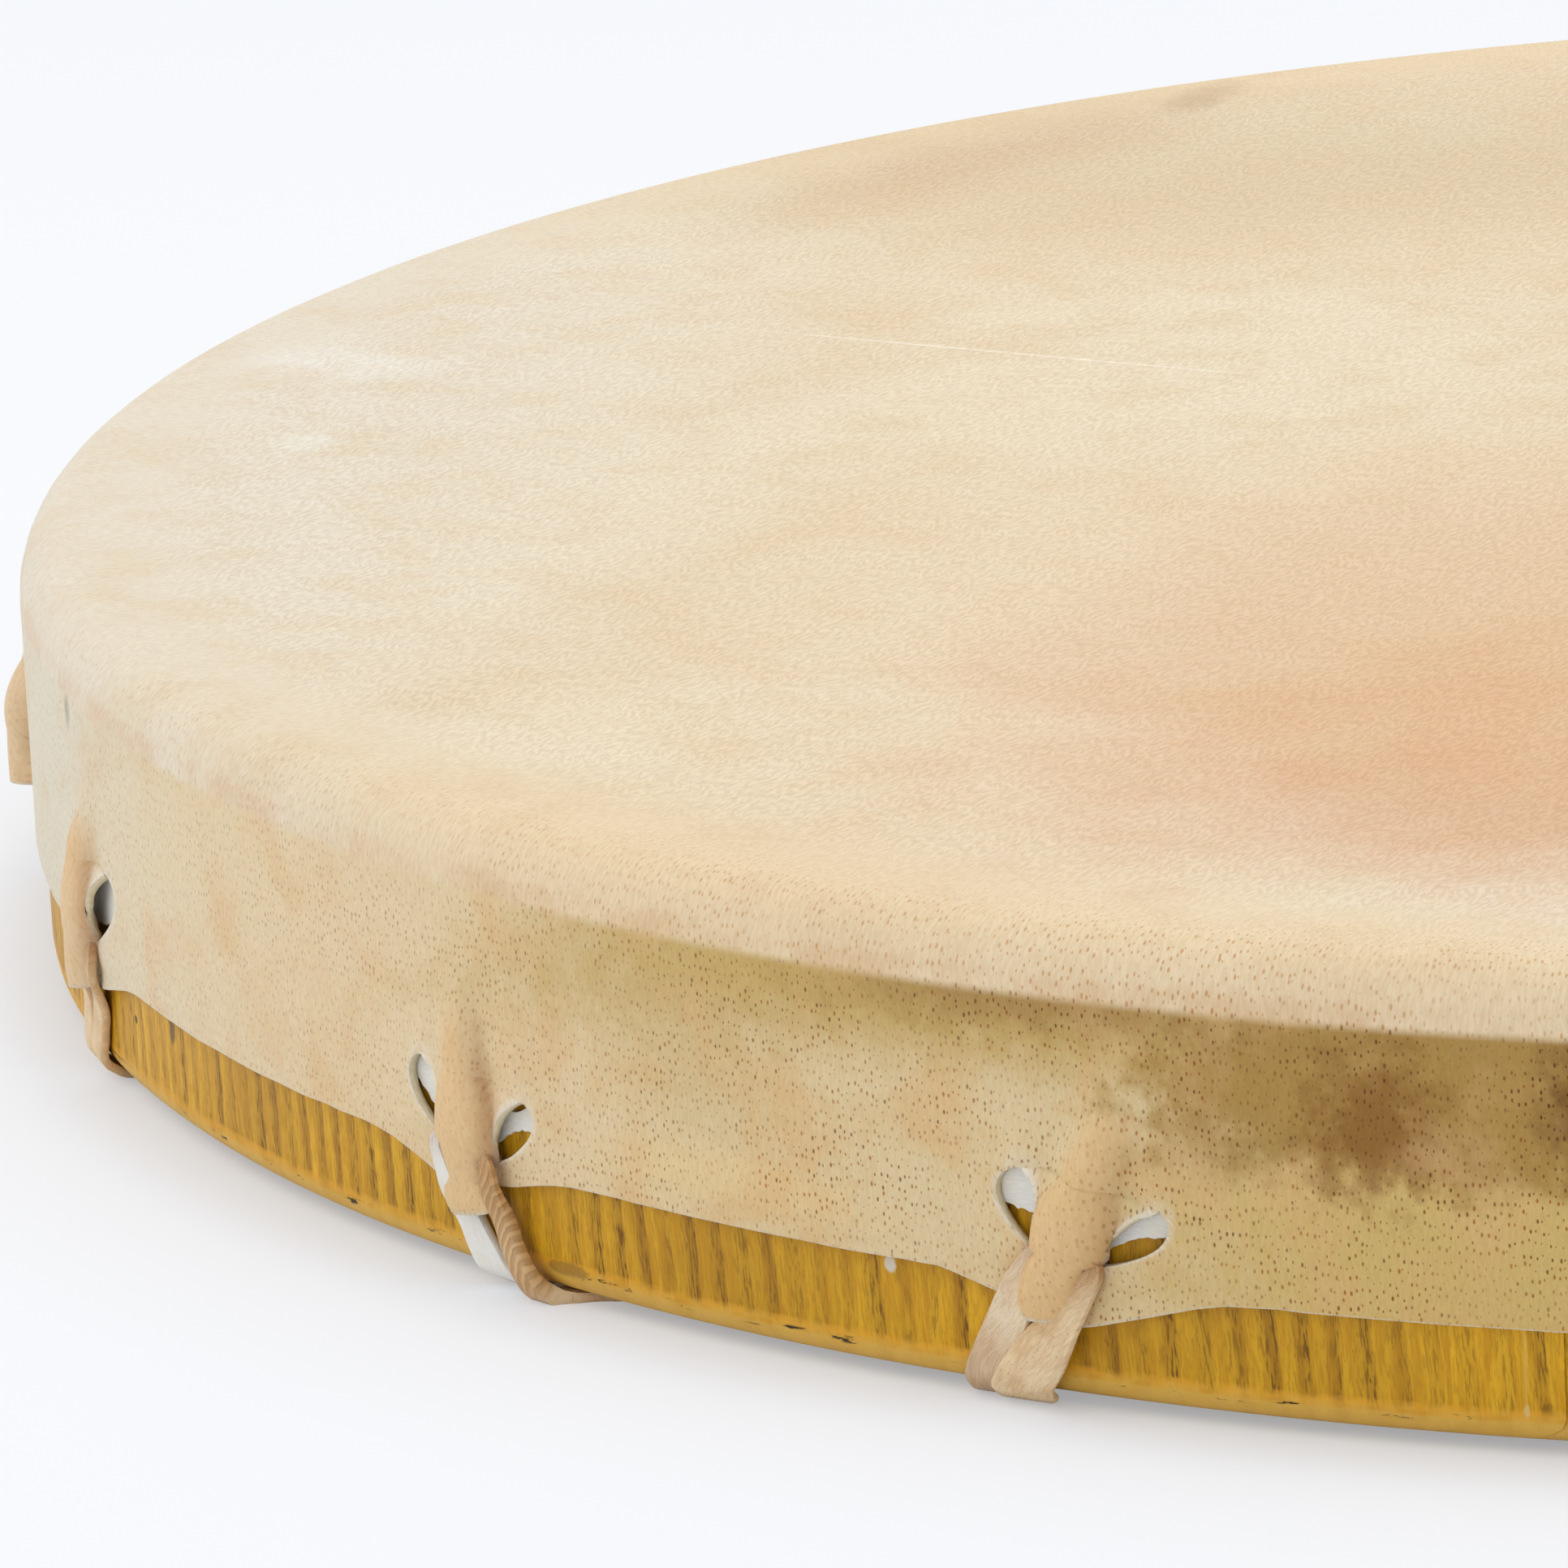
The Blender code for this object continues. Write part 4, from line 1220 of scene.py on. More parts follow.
class LacingPoints:
    """All sixteen lacing points, four round each arm of the cross."""

    hem_table: tuple[Pair, ...] = (
        (-180.0, 13.4), (-160.0, 14.4), (-145.0, 14.7), (-128.0, 14.4), (-112.0, 13.2),
        (-92.0, 12.9), (-72.0, 12.6), (-45.0, 13.2), (-20.0, 12.8), (10.0, 13.5),
        (40.0, 12.9), (75.0, 13.4), (110.0, 12.7), (145.0, 13.3), (180.0, 13.4),
    )

    def __init__(self, seed: int = 7) -> None:
        """Makes the points, with small differences as handwork has.

        Args:
            seed: The seed of the differences.
        """
        self.points: dict[tuple[int, str, int], LacingPoint] = {}
        chance = Random(seed)
        for arm in range(SIZES.arms):
            middle = arm * math.tau / SIZES.arms
            for side in (-1, 1):
                for kind, offset, lean in (
                    ("outer", SIZES.outer_point, SIZES.outer_lean),
                    ("inner", SIZES.inner_point, SIZES.inner_lean),
                ):
                    made = self._varied(middle + side * offset, -side * lean, chance)
                    self.points[(arm, kind, side)] = made
        self._shown()

    @staticmethod
    def _varied(angle: float, lean: float, chance: Random) -> LacingPoint:
        """A lacing point with its own small differences."""
        pull = lean * 5.0
        drawn = chance.uniform
        feet = [
            (side * 3.2 + pull * 0.3 + drawn(-0.3, 0.3), 15.6 + drawn(-0.6, 0.5)) for side in (-1, 1)
        ]
        slits = tuple(
            Slit(foot, (side * 7.9 + drawn(-0.8, 0.8), 23.2 + drawn(-1.2, 1.0)),
                 3.8 + drawn(-0.6, 0.7), 1.0 + drawn(-0.2, 0.4))
            for side, foot in zip((-1, 1), feet)
        )
        tip = 7.8 + drawn(-1.2, 1.6)
        end = pull * 1.1 + drawn(-0.7, 0.7)
        half = 3.4 + drawn(-0.4, 0.6)
        tongue = (
            (tip, end - half, end + half, 2.2),
            (tip + 2.2, blend(end, pull * 0.5, 0.4) - half * 0.9, blend(end, pull * 0.5, 0.4) + half * 0.9, 2.6),
            (13.0, pull * 0.5 - 2.8, pull * 0.5 + 2.8, 3.0),
            (16.0, feet[0][0], feet[1][0], 3.2),
        )
        kinds = (chance.choice(list(Strand)[:3]), chance.choice(list(Strand)))
        strands = []
        for side, foot, kind in zip((-1, 1), feet, kinds):
            last = side * SIZES.lane / 2 / MILLI + lean * 13.5
            full = 3.2 if kind is Strand.ROPED else 4.8
            widths = ((0.0, 2.0), (0.22, blend(2.0, full, 0.5)), (0.5, full * 0.94), (0.78, full), (1.0, full))
            rows = tuple(
                (blend(foot[0] + side * 0.4, last, share), blend(foot[1] - 0.2, 1.2, share), wide)
                for share, wide in widths
            )
            strands.append(StrandPath(kind, rows, 0.3 * (side > 0)))
        dips = (9.6 + drawn(-0.7, 0.8), 9.4 + drawn(-0.7, 0.8))
        return LacingPoint(
            angle, slits, tongue, tuple(strands), dips, tip_slope=drawn(-0.6, 0.6),
            corner=chance.choice((0.0, 0.8, 1.6)), tilt=drawn(-0.15, 0.15), lean=-lean * 0.4 + drawn(-0.1, 0.1),
        )

    def _shown(self) -> None:
        """Sets the four lacing points in front as they really are."""
        quarter = math.radians(-90)
        self.points[(3, "inner", 1)] = LacingPoint(
            angle=quarter + SIZES.inner_point,
            slits=(Slit((-5.2, 16.2), (-7.5, 24.6), 4.9, 0.9), Slit((1.5, 15.3), (9.5, 21.5), 4.0, 1.2)),
            tongue=((9.3, -7.0, -1.9, 2.0), (11.4, -7.3, -0.9, 2.8), (13.7, -6.7, 0.2, 3.3), (16.4, -5.0, 1.6, 3.5)),
            strands=(
                StrandPath(Strand.TORN, (
                    (-5.6, 15.4, 2.2), (-7.0, 12.4, 4.0), (-8.7, 9.2, 4.8), (-10.3, 6.3, 4.9), (-12.4, 1.6, 5.0),
                )),
                StrandPath(Strand.FLAT, (
                    (1.8, 15.2, 1.9), (0.3, 12.6, 3.0), (-1.9, 9.2, 4.2), (-4.3, 6.2, 5.6), (-7.6, 1.4, 6.2),
                ), front=0.95),
            ),
            hem_dips=(10.6, 8.2), tip_slope=0.2, corner=0.9, lean=0.40, shade=0.55,
            back_low=(
                (-10.0, 20.6), (-8.2, 20.2), (-4.2, 19.1), (0.0, 15.4), (1.2, 16.0), (3.7, 17.3),
                (5.9, 18.3), (8.3, 18.7), (10.5, 18.8),
            ),
            back_high=((-10.0, 26.4), (0.0, 26.5), (10.5, 25.0)),
        )
        self.points[(3, "inner", -1)] = LacingPoint(
            angle=quarter - SIZES.inner_point,
            slits=(Slit((-3.5, 14.9), (-7.2, 23.1), 4.9, 0.7), Slit((5.0, 13.5), (10.7, 20.8), 4.0, 1.3)),
            tongue=(
                (7.2, -2.7, 5.8, 1.8), (8.9, -3.2, 5.2, 2.0), (10.8, -1.9, 4.2, 2.2), (13.3, -2.4, 3.9, 2.6),
                (15.4, -3.4, 4.8, 2.8),
            ),
            strands=(
                StrandPath(Strand.PALE, (
                    (-3.7, 14.5, 1.7), (-3.0, 11.8, 2.2), (-2.2, 9.2, 3.0), (-0.7, 6.2, 3.9), (1.4, 3.4, 4.2),
                    (3.9, 1.0, 4.2),
                )),
                StrandPath(Strand.ROPED, (
                    (5.3, 13.2, 2.6), (5.7, 10.4, 3.2), (6.5, 7.3, 2.9), (7.8, 4.4, 3.0), (9.9, 1.6, 3.1),
                ), front=0.3),
            ),
            hem_dips=(9.6, 10.7), tip_slope=0.7, corner=2.0, tilt=-0.1, lean=-0.12, shade=0.95,
            back_low=(
                (-10.0, 20.4), (-7.7, 18.5), (-4.0, 15.8), (0.0, 14.0), (4.4, 15.2), (6.5, 16.6),
                (9.0, 17.4), (12.0, 17.4),
            ),
            back_high=(
                (-10.0, 23.6), (-8.1, 22.8), (-5.2, 21.6), (0.0, 20.5), (7.5, 19.2), (10.6, 20.4), (12.0, 20.8),
            ),
        )
        self.points[(3, "outer", -1)] = LacingPoint(
            angle=quarter - SIZES.outer_point + math.radians(1.7),
            slits=(Slit((-3.3, 16.8), (-6.6, 25.6), 3.6, 1.4), Slit((4.3, 16.6), (10.6, 25.4), 4.6, 2.0)),
            tongue=((10.2, -4.6, 1.4, 2.6), (12.0, -3.9, 1.8, 3.0), (14.0, -3.3, 2.4, 3.2), (17.0, -3.2, 4.1, 3.3)),
            strands=(
                StrandPath(Strand.FLAT, (
                    (-3.0, 15.8, 2.0), (-4.4, 12.0, 3.6), (-5.2, 8.0, 4.4), (-5.4, 4.0, 4.6), (-4.6, 1.4, 4.6),
                )),
                StrandPath(Strand.FLAT, (
                    (3.2, 16.0, 2.6), (1.6, 12.4, 4.0), (0.4, 8.4, 4.6), (-0.8, 4.6, 4.6), (-1.6, 1.4, 4.6),
                )),
            ),
            hem_dips=(11.0, 10.6), tip_slope=0.7, tilt=-0.1, lean=0.1, shade=0.6,
            back_low=((-9.5, 21.6), (-4.5, 19.0), (0.0, 18.0), (6.0, 19.0), (8.5, 20.6), (12.0, 21.0)),
            back_high=((-9.5, 27.0), (0.0, 27.0), (12.0, 26.0)),
        )
        self.points[(2, "outer", 1)] = LacingPoint(
            angle=math.radians(180) + SIZES.outer_point + math.radians(2.0),
            slits=(Slit((-3.4, 15.8), (-7.4, 23.6), 3.8, 0.6), Slit((3.4, 15.8), (7.4, 23.6), 3.8, 0.6)),
            tongue=((9.8, -3.4, 3.4, 6.7), (12.0, -3.4, 3.4, 6.8), (14.0, -3.3, 3.3, 6.8), (17.0, -3.6, 3.6, 6.7)),
            fold_top=30.0, top_share=0.66,
            strands=(
                StrandPath(Strand.FLAT, ((-3.6, 15.2, 2.0), (-4.4, 11.0, 4.2), (-4.6, 6.0, 4.6), (-4.4, 1.4, 4.6))),
                StrandPath(Strand.PALE, ((3.6, 15.2, 2.0), (2.0, 11.0, 4.2), (0.8, 6.0, 4.6), (0.6, 1.4, 4.6)), 0.3),
            ),
        )

    def hem(self, angle: float) -> float:
        """Height of the skirt's hem, in millimetres, between lacing points at an angle."""
        turned = math.degrees(swing(angle, 0.0))
        ragged = noise.noise(Vector((math.cos(angle) * 60, math.sin(angle) * 60, 0.0)))
        return read_table(self.hem_table, turned)[0] + 0.22 * ragged

    def ordered(self) -> list[LacingPoint]:
        """The points in order round the hoop."""
        return sorted(self.points.values(), key=lambda point: point.angle % math.tau)


@dataclass
class Spot:
    """Where a place of the skirt comes to lie, in millimetres, and how it looks there.

    Attributes:
        place: Its place round the hoop.
        height: Its height above the hoop's lower edge.
        lift: How far it stands off the hoop.
        cut: How pale and torn it is, as at a cut edge.
        stain: How brown it is: real damp stain with painted shadow at the slits' feet, and painted shade along the
            fold's right side.
    """

    place: float
    height: float
    lift: float
    cut: float = 0.0
    stain: float = 0.0


class Drumhead:
    """The goat skin: flat head, rounded edge, skirt, and slits and tongues at its lacing points."""

    cut_place: float = 4.0
    tongue_steps: int = 8
    near_steps: int = 9
    near_reach: float = 12.0
    far_steps: int = 6
    far_reach: float = 27.0
    wide_steps: int = 4
    hem_rows: int = 9
    slit_rows: int = 16
    wall_rows: int = 11
    crown_rows: int = 7
    foot_level: float = 15.4
    top_level: float = 23.8
    hem_room: float = 0.7
    fold_half: float = 3.1
    fold_brim: float = 0.15
    spread_lift: float = 0.62
    head_reaches: tuple[float, ...] = (0.985, 0.95, 0.87, 0.72, 0.52, 0.30, 0.12)

    def __init__(self, lacing: LacingPoints) -> None:
        """Takes the lacing points."""
        self.lacing = lacing
        self.points = lacing.ordered()
        self.crease = (SIZES.hoop_height - SIZES.crown_drop) / MILLI
        self.columns, self.turns = self._columns()

    def _columns(self) -> tuple[list[tuple[int, float]], list[float]]:
        """Each column's lacing point and place beside it in millimetres, and each column's angle."""
        columns: list[tuple[int, float]] = []
        turns: list[float] = []
        angles = [point.angle % math.tau for point in self.points]
        for index, angle in enumerate(angles):
            before = (angle - angles[index - 1]) % math.tau / 2 * SIZES.hoop_radius / MILLI
            after = (angles[(index + 1) % len(angles)] - angle) % math.tau / 2 * SIZES.hoop_radius / MILLI
            places = [-place for place in reversed(self._places(before))][:-1] + self._places(after)[:-1]
            columns += [(index, place) for place in places]
            turns += [angle + place * MILLI / SIZES.hoop_radius for place in places]
        return columns, turns

    def _places(self, gap: float) -> list[float]:
        """Places of the columns from a tongue's middle to half-way to the next point."""
        places = [self.cut_place * i / self.tongue_steps for i in range(self.tongue_steps)]
        places += [blend(self.cut_place, self.near_reach, i / self.near_steps) for i in range(self.near_steps)]
        places += [blend(self.near_reach, self.far_reach, i / self.far_steps) for i in range(self.far_steps)]
        return places + [blend(self.far_reach, gap, i / self.wide_steps) for i in range(self.wide_steps + 1)]

    def build(self) -> bpy.types.Object:
        """Builds the skin as a turned profile that is then cut, opened and folded at each point."""
        shape = bmesh.new()
        level = shape.verts.layers.int.new("level")
        number = shape.verts.layers.int.new("number")
        rows = self.rows()
        profile = [Vector((radius, 0, height)) for radius, height in rows]
        count = len(self.columns)
        turn_profile(shape, profile, False, count, math.tau, range(len(rows)), level)
        bmesh.ops.remove_doubles(shape, verts=[vert for vert in shape.verts if vert[level] == len(rows) - 1], dist=1e-5)
        for vert in shape.verts:
            vert[number] = round(math.atan2(vert.co.y, vert.co.x) % math.tau / math.tau * count) % count
        self._open_slits(shape, number, level)
        self._fold(shape, number, level)
        bmesh.ops.recalc_face_normals(shape, faces=shape.faces)
        self._lay_flat(shape)
        sides = GoatHide(), FleshSide("flesh_side"), FleshSide("cut_edge", pale="E6D8B8")
        head = finish_piece(shape, "goat_skin", "drumhead", [side.material() for side in sides], 60)
        wall = head.modifiers.new("thickness", "SOLIDIFY")
        wall.thickness = SIZES.skin
        wall.offset = 1.0
        wall.use_even_offset = False
        wall.material_offset = 1
        wall.material_offset_rim = 2
        return head

    def rows(self) -> list[Pair]:
        """Radius and height of the skin's inner surface, from the hem up and in to the middle.

        Rows on the skirt stand at an even step here and get their real height when it is folded.
        """
        radius = SIZES.hoop_radius + SIZES.fit_gap
        count = self.hem_rows + self.slit_rows + self.wall_rows
        base = SIZES.ground_to_hoop
        found = [(radius, base + self.crease * MILLI * (0.3 + 0.7 * i / count)) for i in range(count + 1)]
        top = base + SIZES.hoop_height
        for step in range(1, self.crown_rows + 1):
            turn = math.radians(90 * step / self.crown_rows)
            reach = (SIZES.crown_width + SIZES.fit_gap) * math.cos(turn)
            rise = (SIZES.crown_drop + SIZES.fit_gap) * math.sin(turn)
            found.append((RIM_START + reach, top - SIZES.crown_drop + rise))
        found += [(RIM_START * share, top + SIZES.fit_gap) for share in self.head_reaches]
        found.append((0.0, top + SIZES.fit_gap))
        return found

    def _open_slits(self, shape: bmesh.types.BMesh, number: object, level: object) -> None:
        """Cuts the skin along the slits."""
        low, high = self.hem_rows, self.hem_rows + self.slit_rows
        cuts = []
        for edge in shape.edges:
            first, second = edge.verts
            if first[number] != second[number] or abs(abs(self.columns[first[number]][1]) - self.cut_place) > 1e-6:
                continue
            if min(first[level], second[level]) >= low and max(first[level], second[level]) <= high:
                cuts.append(edge)
        bmesh.ops.split_edges(shape, edges=cuts)

    def _fold(self, shape: bmesh.types.BMesh, number: object, level: object) -> None:
        """Moves each vertex to its column's angle, and on the skirt to where the lace pulls it."""
        cut = shape.verts.layers.float.new("cut")
        # The stain layer holds damp stain and painted shadow at the slits' feet, and painted shade on the folds.
        stain = shape.verts.layers.float.new("stain")
        fold = shape.verts.layers.float.new("fold")
        last = self.hem_rows + self.slit_rows + self.wall_rows
        moved = {}
        for vert in shape.verts:
            if vert[level] > last:
                moved[vert] = polar(vert.co.xy.length, self.turns[vert[number]], vert.co.z)
                continue
            index, place = self.columns[vert[number]]
            away = max(abs(self.columns[other[number]][1]) for face in vert.link_faces for other in face.verts)
            point = self.points[index]
            spot = self.placed(point, place, vert[level], away <= self.cut_place + 1e-6)
            angle = point.angle + spot.place * MILLI / SIZES.hoop_radius
            radius = SIZES.hoop_radius + SIZES.fit_gap + spot.lift * MILLI
            moved[vert] = polar(radius, angle, SIZES.ground_to_hoop + spot.height * MILLI)
            vert[cut] = spot.cut
            vert[stain] = spot.stain
            vert[fold] = smooth(spot.lift, 0.7, 2.6)
        for vert, place in moved.items():
            vert.co = place

    def placed(self, point: LacingPoint, place: float, row: int, inside: bool) -> Spot:
        """Where a place of the flat skirt lies once it is laced.

        Args:
            point: The lacing point.
            place: The distance from the tongue's middle on the flat skirt.
            row: The row from the hem up.
            inside: Whether it belongs to the tongue.

        Returns:
            Its place on the laced drum.
        """
        side = 1 if place > 0 else -1
        if row <= self.hem_rows:
            t = row / self.hem_rows
            under = abs(place) < self.cut_place
            spot = self._tongue_end(point, place, t) if under else self._margin(point, place, side, t)
        elif row < self.hem_rows + self.slit_rows:
            t = 1 - (1 - (row - self.hem_rows) / self.slit_rows) ** 1.35
            spot = self._tongue(point, place, t) if inside else self._beside(point, place, side, t)
        else:
            t = (row - self.hem_rows - self.slit_rows) / self.wall_rows
            spot = self._above(point, place, side, t**1.2)
        beyond = max(abs(spot.place) - 6.5, 0.0)
        window = smooth(spot.height, 12.5, 16.0) * smooth(spot.height, 34.0, 24.0)
        rise = (row - self.hem_rows) / self.slit_rows
        raised = 1.0
        if inside or rise >= 1.0:
            raised = smooth(abs(place), 1.5, self.cut_place) * smooth(rise, 0.7, 1.0)
        spot.lift += self.spread_lift * bell(beyond, 5.0) * window * raised
        return spot

    @staticmethod
    def _dome(share: float, full: float = 2.3) -> float:
        """Height across a fold from 1 at its crest to 0 at its edge."""
        return max(1 - abs(share) ** full, 0.0) ** 0.62

    @staticmethod
    def _ridge(share: float) -> float:
        """Height across a fold that runs out softly to both sides."""
        return math.exp(-(share**2) * 1.15)

    def _tongue_end(self, point: LacingPoint, place: float, t: float) -> Spot:
        """The tongue under the slits' feet, down to its cut tip."""
        share = place / self.cut_place
        feet = blend(point.slits[0].foot[1], point.slits[1].foot[1], share / 2 + 0.5)
        tip = point.tongue[0][0] + point.tip_slope * share + point.corner * smooth(-share, 0.5, 1.0)
        side = 1 if share > 0 else -1
        dip = point.dip(side)
        tip = blend(tip, max(dip, tip), smooth(abs(share), 0.86, 1.0))
        height = blend(tip, feet + 0.5 * (1 - share**2), t)
        left, right, crest = read_table(point.tongue, height)
        tail = 1 - smooth(t, 0.0, 0.6)
        brim = self.fold_brim + 0.9 * tail * smooth(abs(share), 0.0, 1.0)
        left, right = left + 0.8, right - 0.8
        bulge = 0.4 * math.sin(math.pi * abs(share) ** 1.6) * side
        lift = brim + (crest * (1 + point.tilt * share) - brim) * self._dome(share, blend(2.3, 3.2, tail))
        # Damp stain with painted shadow along the tongue's sides near the slits' feet.
        stain = 0.55 * bell(abs(share) - 0.85, 0.18) * smooth(t, 0.35, 1.0)
        return Spot(blend(left, right, share / 2 + 0.5) + bulge, height, lift, 0.8 * bell(t, 0.05), stain)

    def _pulled(self, place: float, sideways: float, upward: float) -> Pair:
        """How far a place beside a slit is pulled along when the slit's edge is moved."""
        beyond = max(abs(place) - self.cut_place, 0.0)
        return sideways * (1 - smooth(beyond, 0.0, 18.0)), upward * bell(beyond, 6.0)

    def _margin(self, point: LacingPoint, place: float, side: int, t: float) -> Spot:
        """The skin beside the tongue and under the slits, down to the hem."""
        beyond = abs(place) - self.cut_place
        slit = point.slit(side)
        hem = self.lacing.hem(point.angle + place * MILLI / SIZES.hoop_radius)
        dip = point.dip(side)
        hem = blend(hem, dip, (1 - smooth(beyond, 0.0, 17.0)) ** 1.5)
        _, rise = self._pulled(place, 0.0, slit.foot[1] - self.foot_level)
        height = blend(hem, max(self.foot_level, hem + self.hem_room) + rise, t)
        height -= 0.35 * t * smooth(beyond, 0.0, 0.9) * smooth(beyond, 11.0, 5.0)
        left, right, _ = read_table(point.tongue, height)
        edge = blend(right if side > 0 else left, slit.foot[0], smooth(t, 0.4, 1.0))
        shift, _ = self._pulled(place, edge - side * self.cut_place, 0.0)
        # Damp stain with painted shadow at the slit's foot.
        stain = 0.8 * bell(beyond, 1.3) * smooth(t, 0.5, 1.0)
        cut = 0.85 * bell(beyond, 2.0) * smooth(t, 0.75, 1.0) + 0.7 * bell(t, 0.04)
        return Spot(place + shift, height, 0.0, cut, stain)

    def _edge(self, slit: Slit, t: float, side: int, outer: bool) -> Vector:
        """The edge of an open slit at a share of the way from its foot to its top."""
        foot, top = Vector(slit.foot), Vector(slit.top)
        along = (top - foot).normalized()
        outward = Vector((along.y, -along.x if outer else -along.x * (1 - t**2))) * side
        half = slit.width / 2 * 1.48 * t**0.78 * math.sqrt(max(1 - t**4, 0.0))
        reach = half * (1.12 if outer else -0.88)
        return foot.lerp(top, t) + outward * (reach + 0.3 * math.sin(math.pi * t))

    def _tongue(self, point: LacingPoint, place: float, t: float) -> Spot:
        """The tongue between its slits."""
        share = place / self.cut_place
        left = self._edge(point.slits[0], t, -1, False)
        right = self._edge(point.slits[1], t, 1, False)
        spot = left.lerp(right, share / 2 + 0.5)
        low = [Vector(slit.foot).lerp(Vector(slit.top), t).y for slit in point.slits]
        level = blend(low[0], low[1], share / 2 + 0.5)
        spot.y = blend(level, spot.y, abs(share) ** 3) + (1 - share**2) * (0.5 + 0.4 * t)
        side = 1 if share > 0 else -1
        slit = point.slit(side)
        crest = point.tongue[-1][3] * (1 + point.tilt * share * (1 - t)) * self._faded(point, t)
        brim = self.fold_brim + slit.brim * math.sin(math.pi * t) ** 0.7 * abs(share)
        bulge = 0.4 * math.sin(math.pi * abs(share) ** 1.6) * side * (1 - t)
        half = (right.x - left.x) / 2
        middle = (right.x + left.x) / 2
        centre = blend(middle, self._fold_middle(point, spot.y), t)
        off = (spot.x - centre) / blend(half, self.fold_half, t)
        lift = brim + max(crest - brim, 0.0) * blend(self._dome(off, 2.3), self._ridge(off), smooth(t, 0.45, 1.0))
        cut = bell(1 - abs(share), 0.10) + 0.45 * bell(1 - abs(share), 0.35) * t
        # Painted shade along the fold's right side, then damp stain with painted shadow at the tongue's edges low down.
        stain = point.shade * bell(off - 0.95, 0.35) + 0.4 * bell(1 - abs(share), 0.2) * smooth(t, 0.4, 0.0)
        return Spot(spot.x + bulge, spot.y, lift, min(cut, 1.0), min(stain, 1.0))

    @staticmethod
    def _faded(point: LacingPoint, t: float) -> float:
        """How high the fold stands at a share of the way up the slits."""
        return 1 + 0.10 * math.sin(math.pi * t) - (1 - point.top_share) * t**1.5

    @staticmethod
    def _fold_middle(point: LacingPoint, height: float) -> float:
        """Where the fold's crest lies at a height, as it leans towards the arm."""
        feet = (point.slits[0].foot[0] + point.slits[1].foot[0]) / 2
        tops = (point.slits[0].top[0] + point.slits[1].top[0]) / 2
        return blend(feet, tops, 0.5) + point.lean * (height - 20.0)

    def _beside(self, point: LacingPoint, place: float, side: int, t: float) -> Spot:
        """The skin outside an open slit."""
        slit = point.slit(side)
        edge = self._edge(slit, t, side, True)
        hem = self.lacing.hem(point.angle + place * MILLI / SIZES.hoop_radius)
        level = blend(max(self.foot_level, hem + self.hem_room), self.top_level, t)
        start = blend(self.foot_level, self.top_level, t)
        shift, rise = self._pulled(place, edge.x - side * self.cut_place, edge.y - start)
        beyond = abs(place) - self.cut_place
        if beyond < 1e-6:
            level = start
        near = bell(beyond, 1.9) * (0.35 + 0.65 * math.sin(math.pi * t) ** 0.5)
        cut = max(0.8 * bell(beyond, 0.40), 0.45 * near)
        # Damp stain with painted shadow at the slit's edge near its foot.
        stain = 0.8 * bell(beyond, 0.9) * smooth(t, 0.2, 0.0)
        return Spot(place + shift, level + rise, 0.0, min(cut, 1.0), stain)

    def _above(self, point: LacingPoint, place: float, side: int, t: float) -> Spot:
        """The skin above the slits, where the fold dies away towards the crease."""
        share = min(max(place / self.cut_place, -1.0), 1.0)
        slit = point.slit(side)
        left, right = point.slits[0].top, point.slits[1].top
        if abs(place) <= self.cut_place:
            start = blend(left[1], right[1], share / 2 + 0.5)
            edge = blend(left[0], right[0], share / 2 + 0.5)
            shift, rise = edge - place, start - self.top_level
        else:
            shift, rise = self._pulled(place, slit.top[0] - side * self.cut_place, slit.top[1] - self.top_level)
        height = blend(self.top_level + rise, self.crease, t)
        inside = abs(place) <= self.cut_place
        height += 0.9 * (1 - share**2) * (1 - t) ** 3 if inside else 0.0
        across = place + shift * (1 - t) ** 0.8
        gone = smooth(height, point.fold_top, max(left[1], right[1]) + 1.2)
        crest = point.tongue[-1][3] * point.top_share * gone**1.5
        brim = self.fold_brim * gone
        off = (across - self._fold_middle(point, height)) / self.fold_half
        if inside:
            lift = brim + (crest - brim) * self._ridge(off)
        else:
            lift = crest * self._ridge(off) * smooth(t, 0.0, 0.55)
        cut = 0.55 * bell(height - slit.top[1], 2.2) * bell(abs(place) - self.cut_place, 1.8)
        # Painted shade along the fold's right side, fading out higher up.
        stain = point.shade * 0.7 * bell(off - 1.0, 0.4) * smooth(height, 33.0, 22.0)
        return Spot(across, height, lift, cut, stain)

    @staticmethod
    def _lay_flat(shape: bmesh.types.BMesh) -> None:
        """Lays the hide's coordinates out flat from the head's middle, in metres."""
        laid = shape.loops.layers.uv.new("hide")
        crease = SIZES.ground_to_hoop + SIZES.hoop_height - SIZES.crown_drop
        for face in shape.faces:
            for loop in face.loops:
                place = loop.vert.co
                reach = place.xy.length
                far = reach
                if reach > RIM_START + 1e-6 and place.z >= crease - 1e-6:
                    rise = min((place.z - crease) / (SIZES.crown_drop + SIZES.fit_gap), 1.0)
                    far = WALL_START - CROWN_LENGTH * math.asin(rise) / (math.pi / 2)
                elif reach > RIM_START + 1e-6:
                    far = WALL_START + crease - place.z
                way = place.xy.normalized() if reach > 1e-6 else Vector((0, 0))
                loop[laid].uv = way * far


@dataclass
class Section:
    """One section of a lace.

    Attributes:
        middle: Its middle.
        face: The way that its outer face looks.
        width: Its width.
        thickness: Its thickness.
        flesh: How much of its pale flesh side shows.
        damp: How brown its damp turns have dried.
        rope: How far it is twisted into a round cord.
        across: The way across it, where it isn't square to its run.
    """

    middle: Vector
    face: Vector
    width: float
    thickness: float = SIZES.lace_thickness
    flesh: float = 0.0
    damp: float = 0.0
    rope: float = 0.0
    across: Optional[Vector] = None


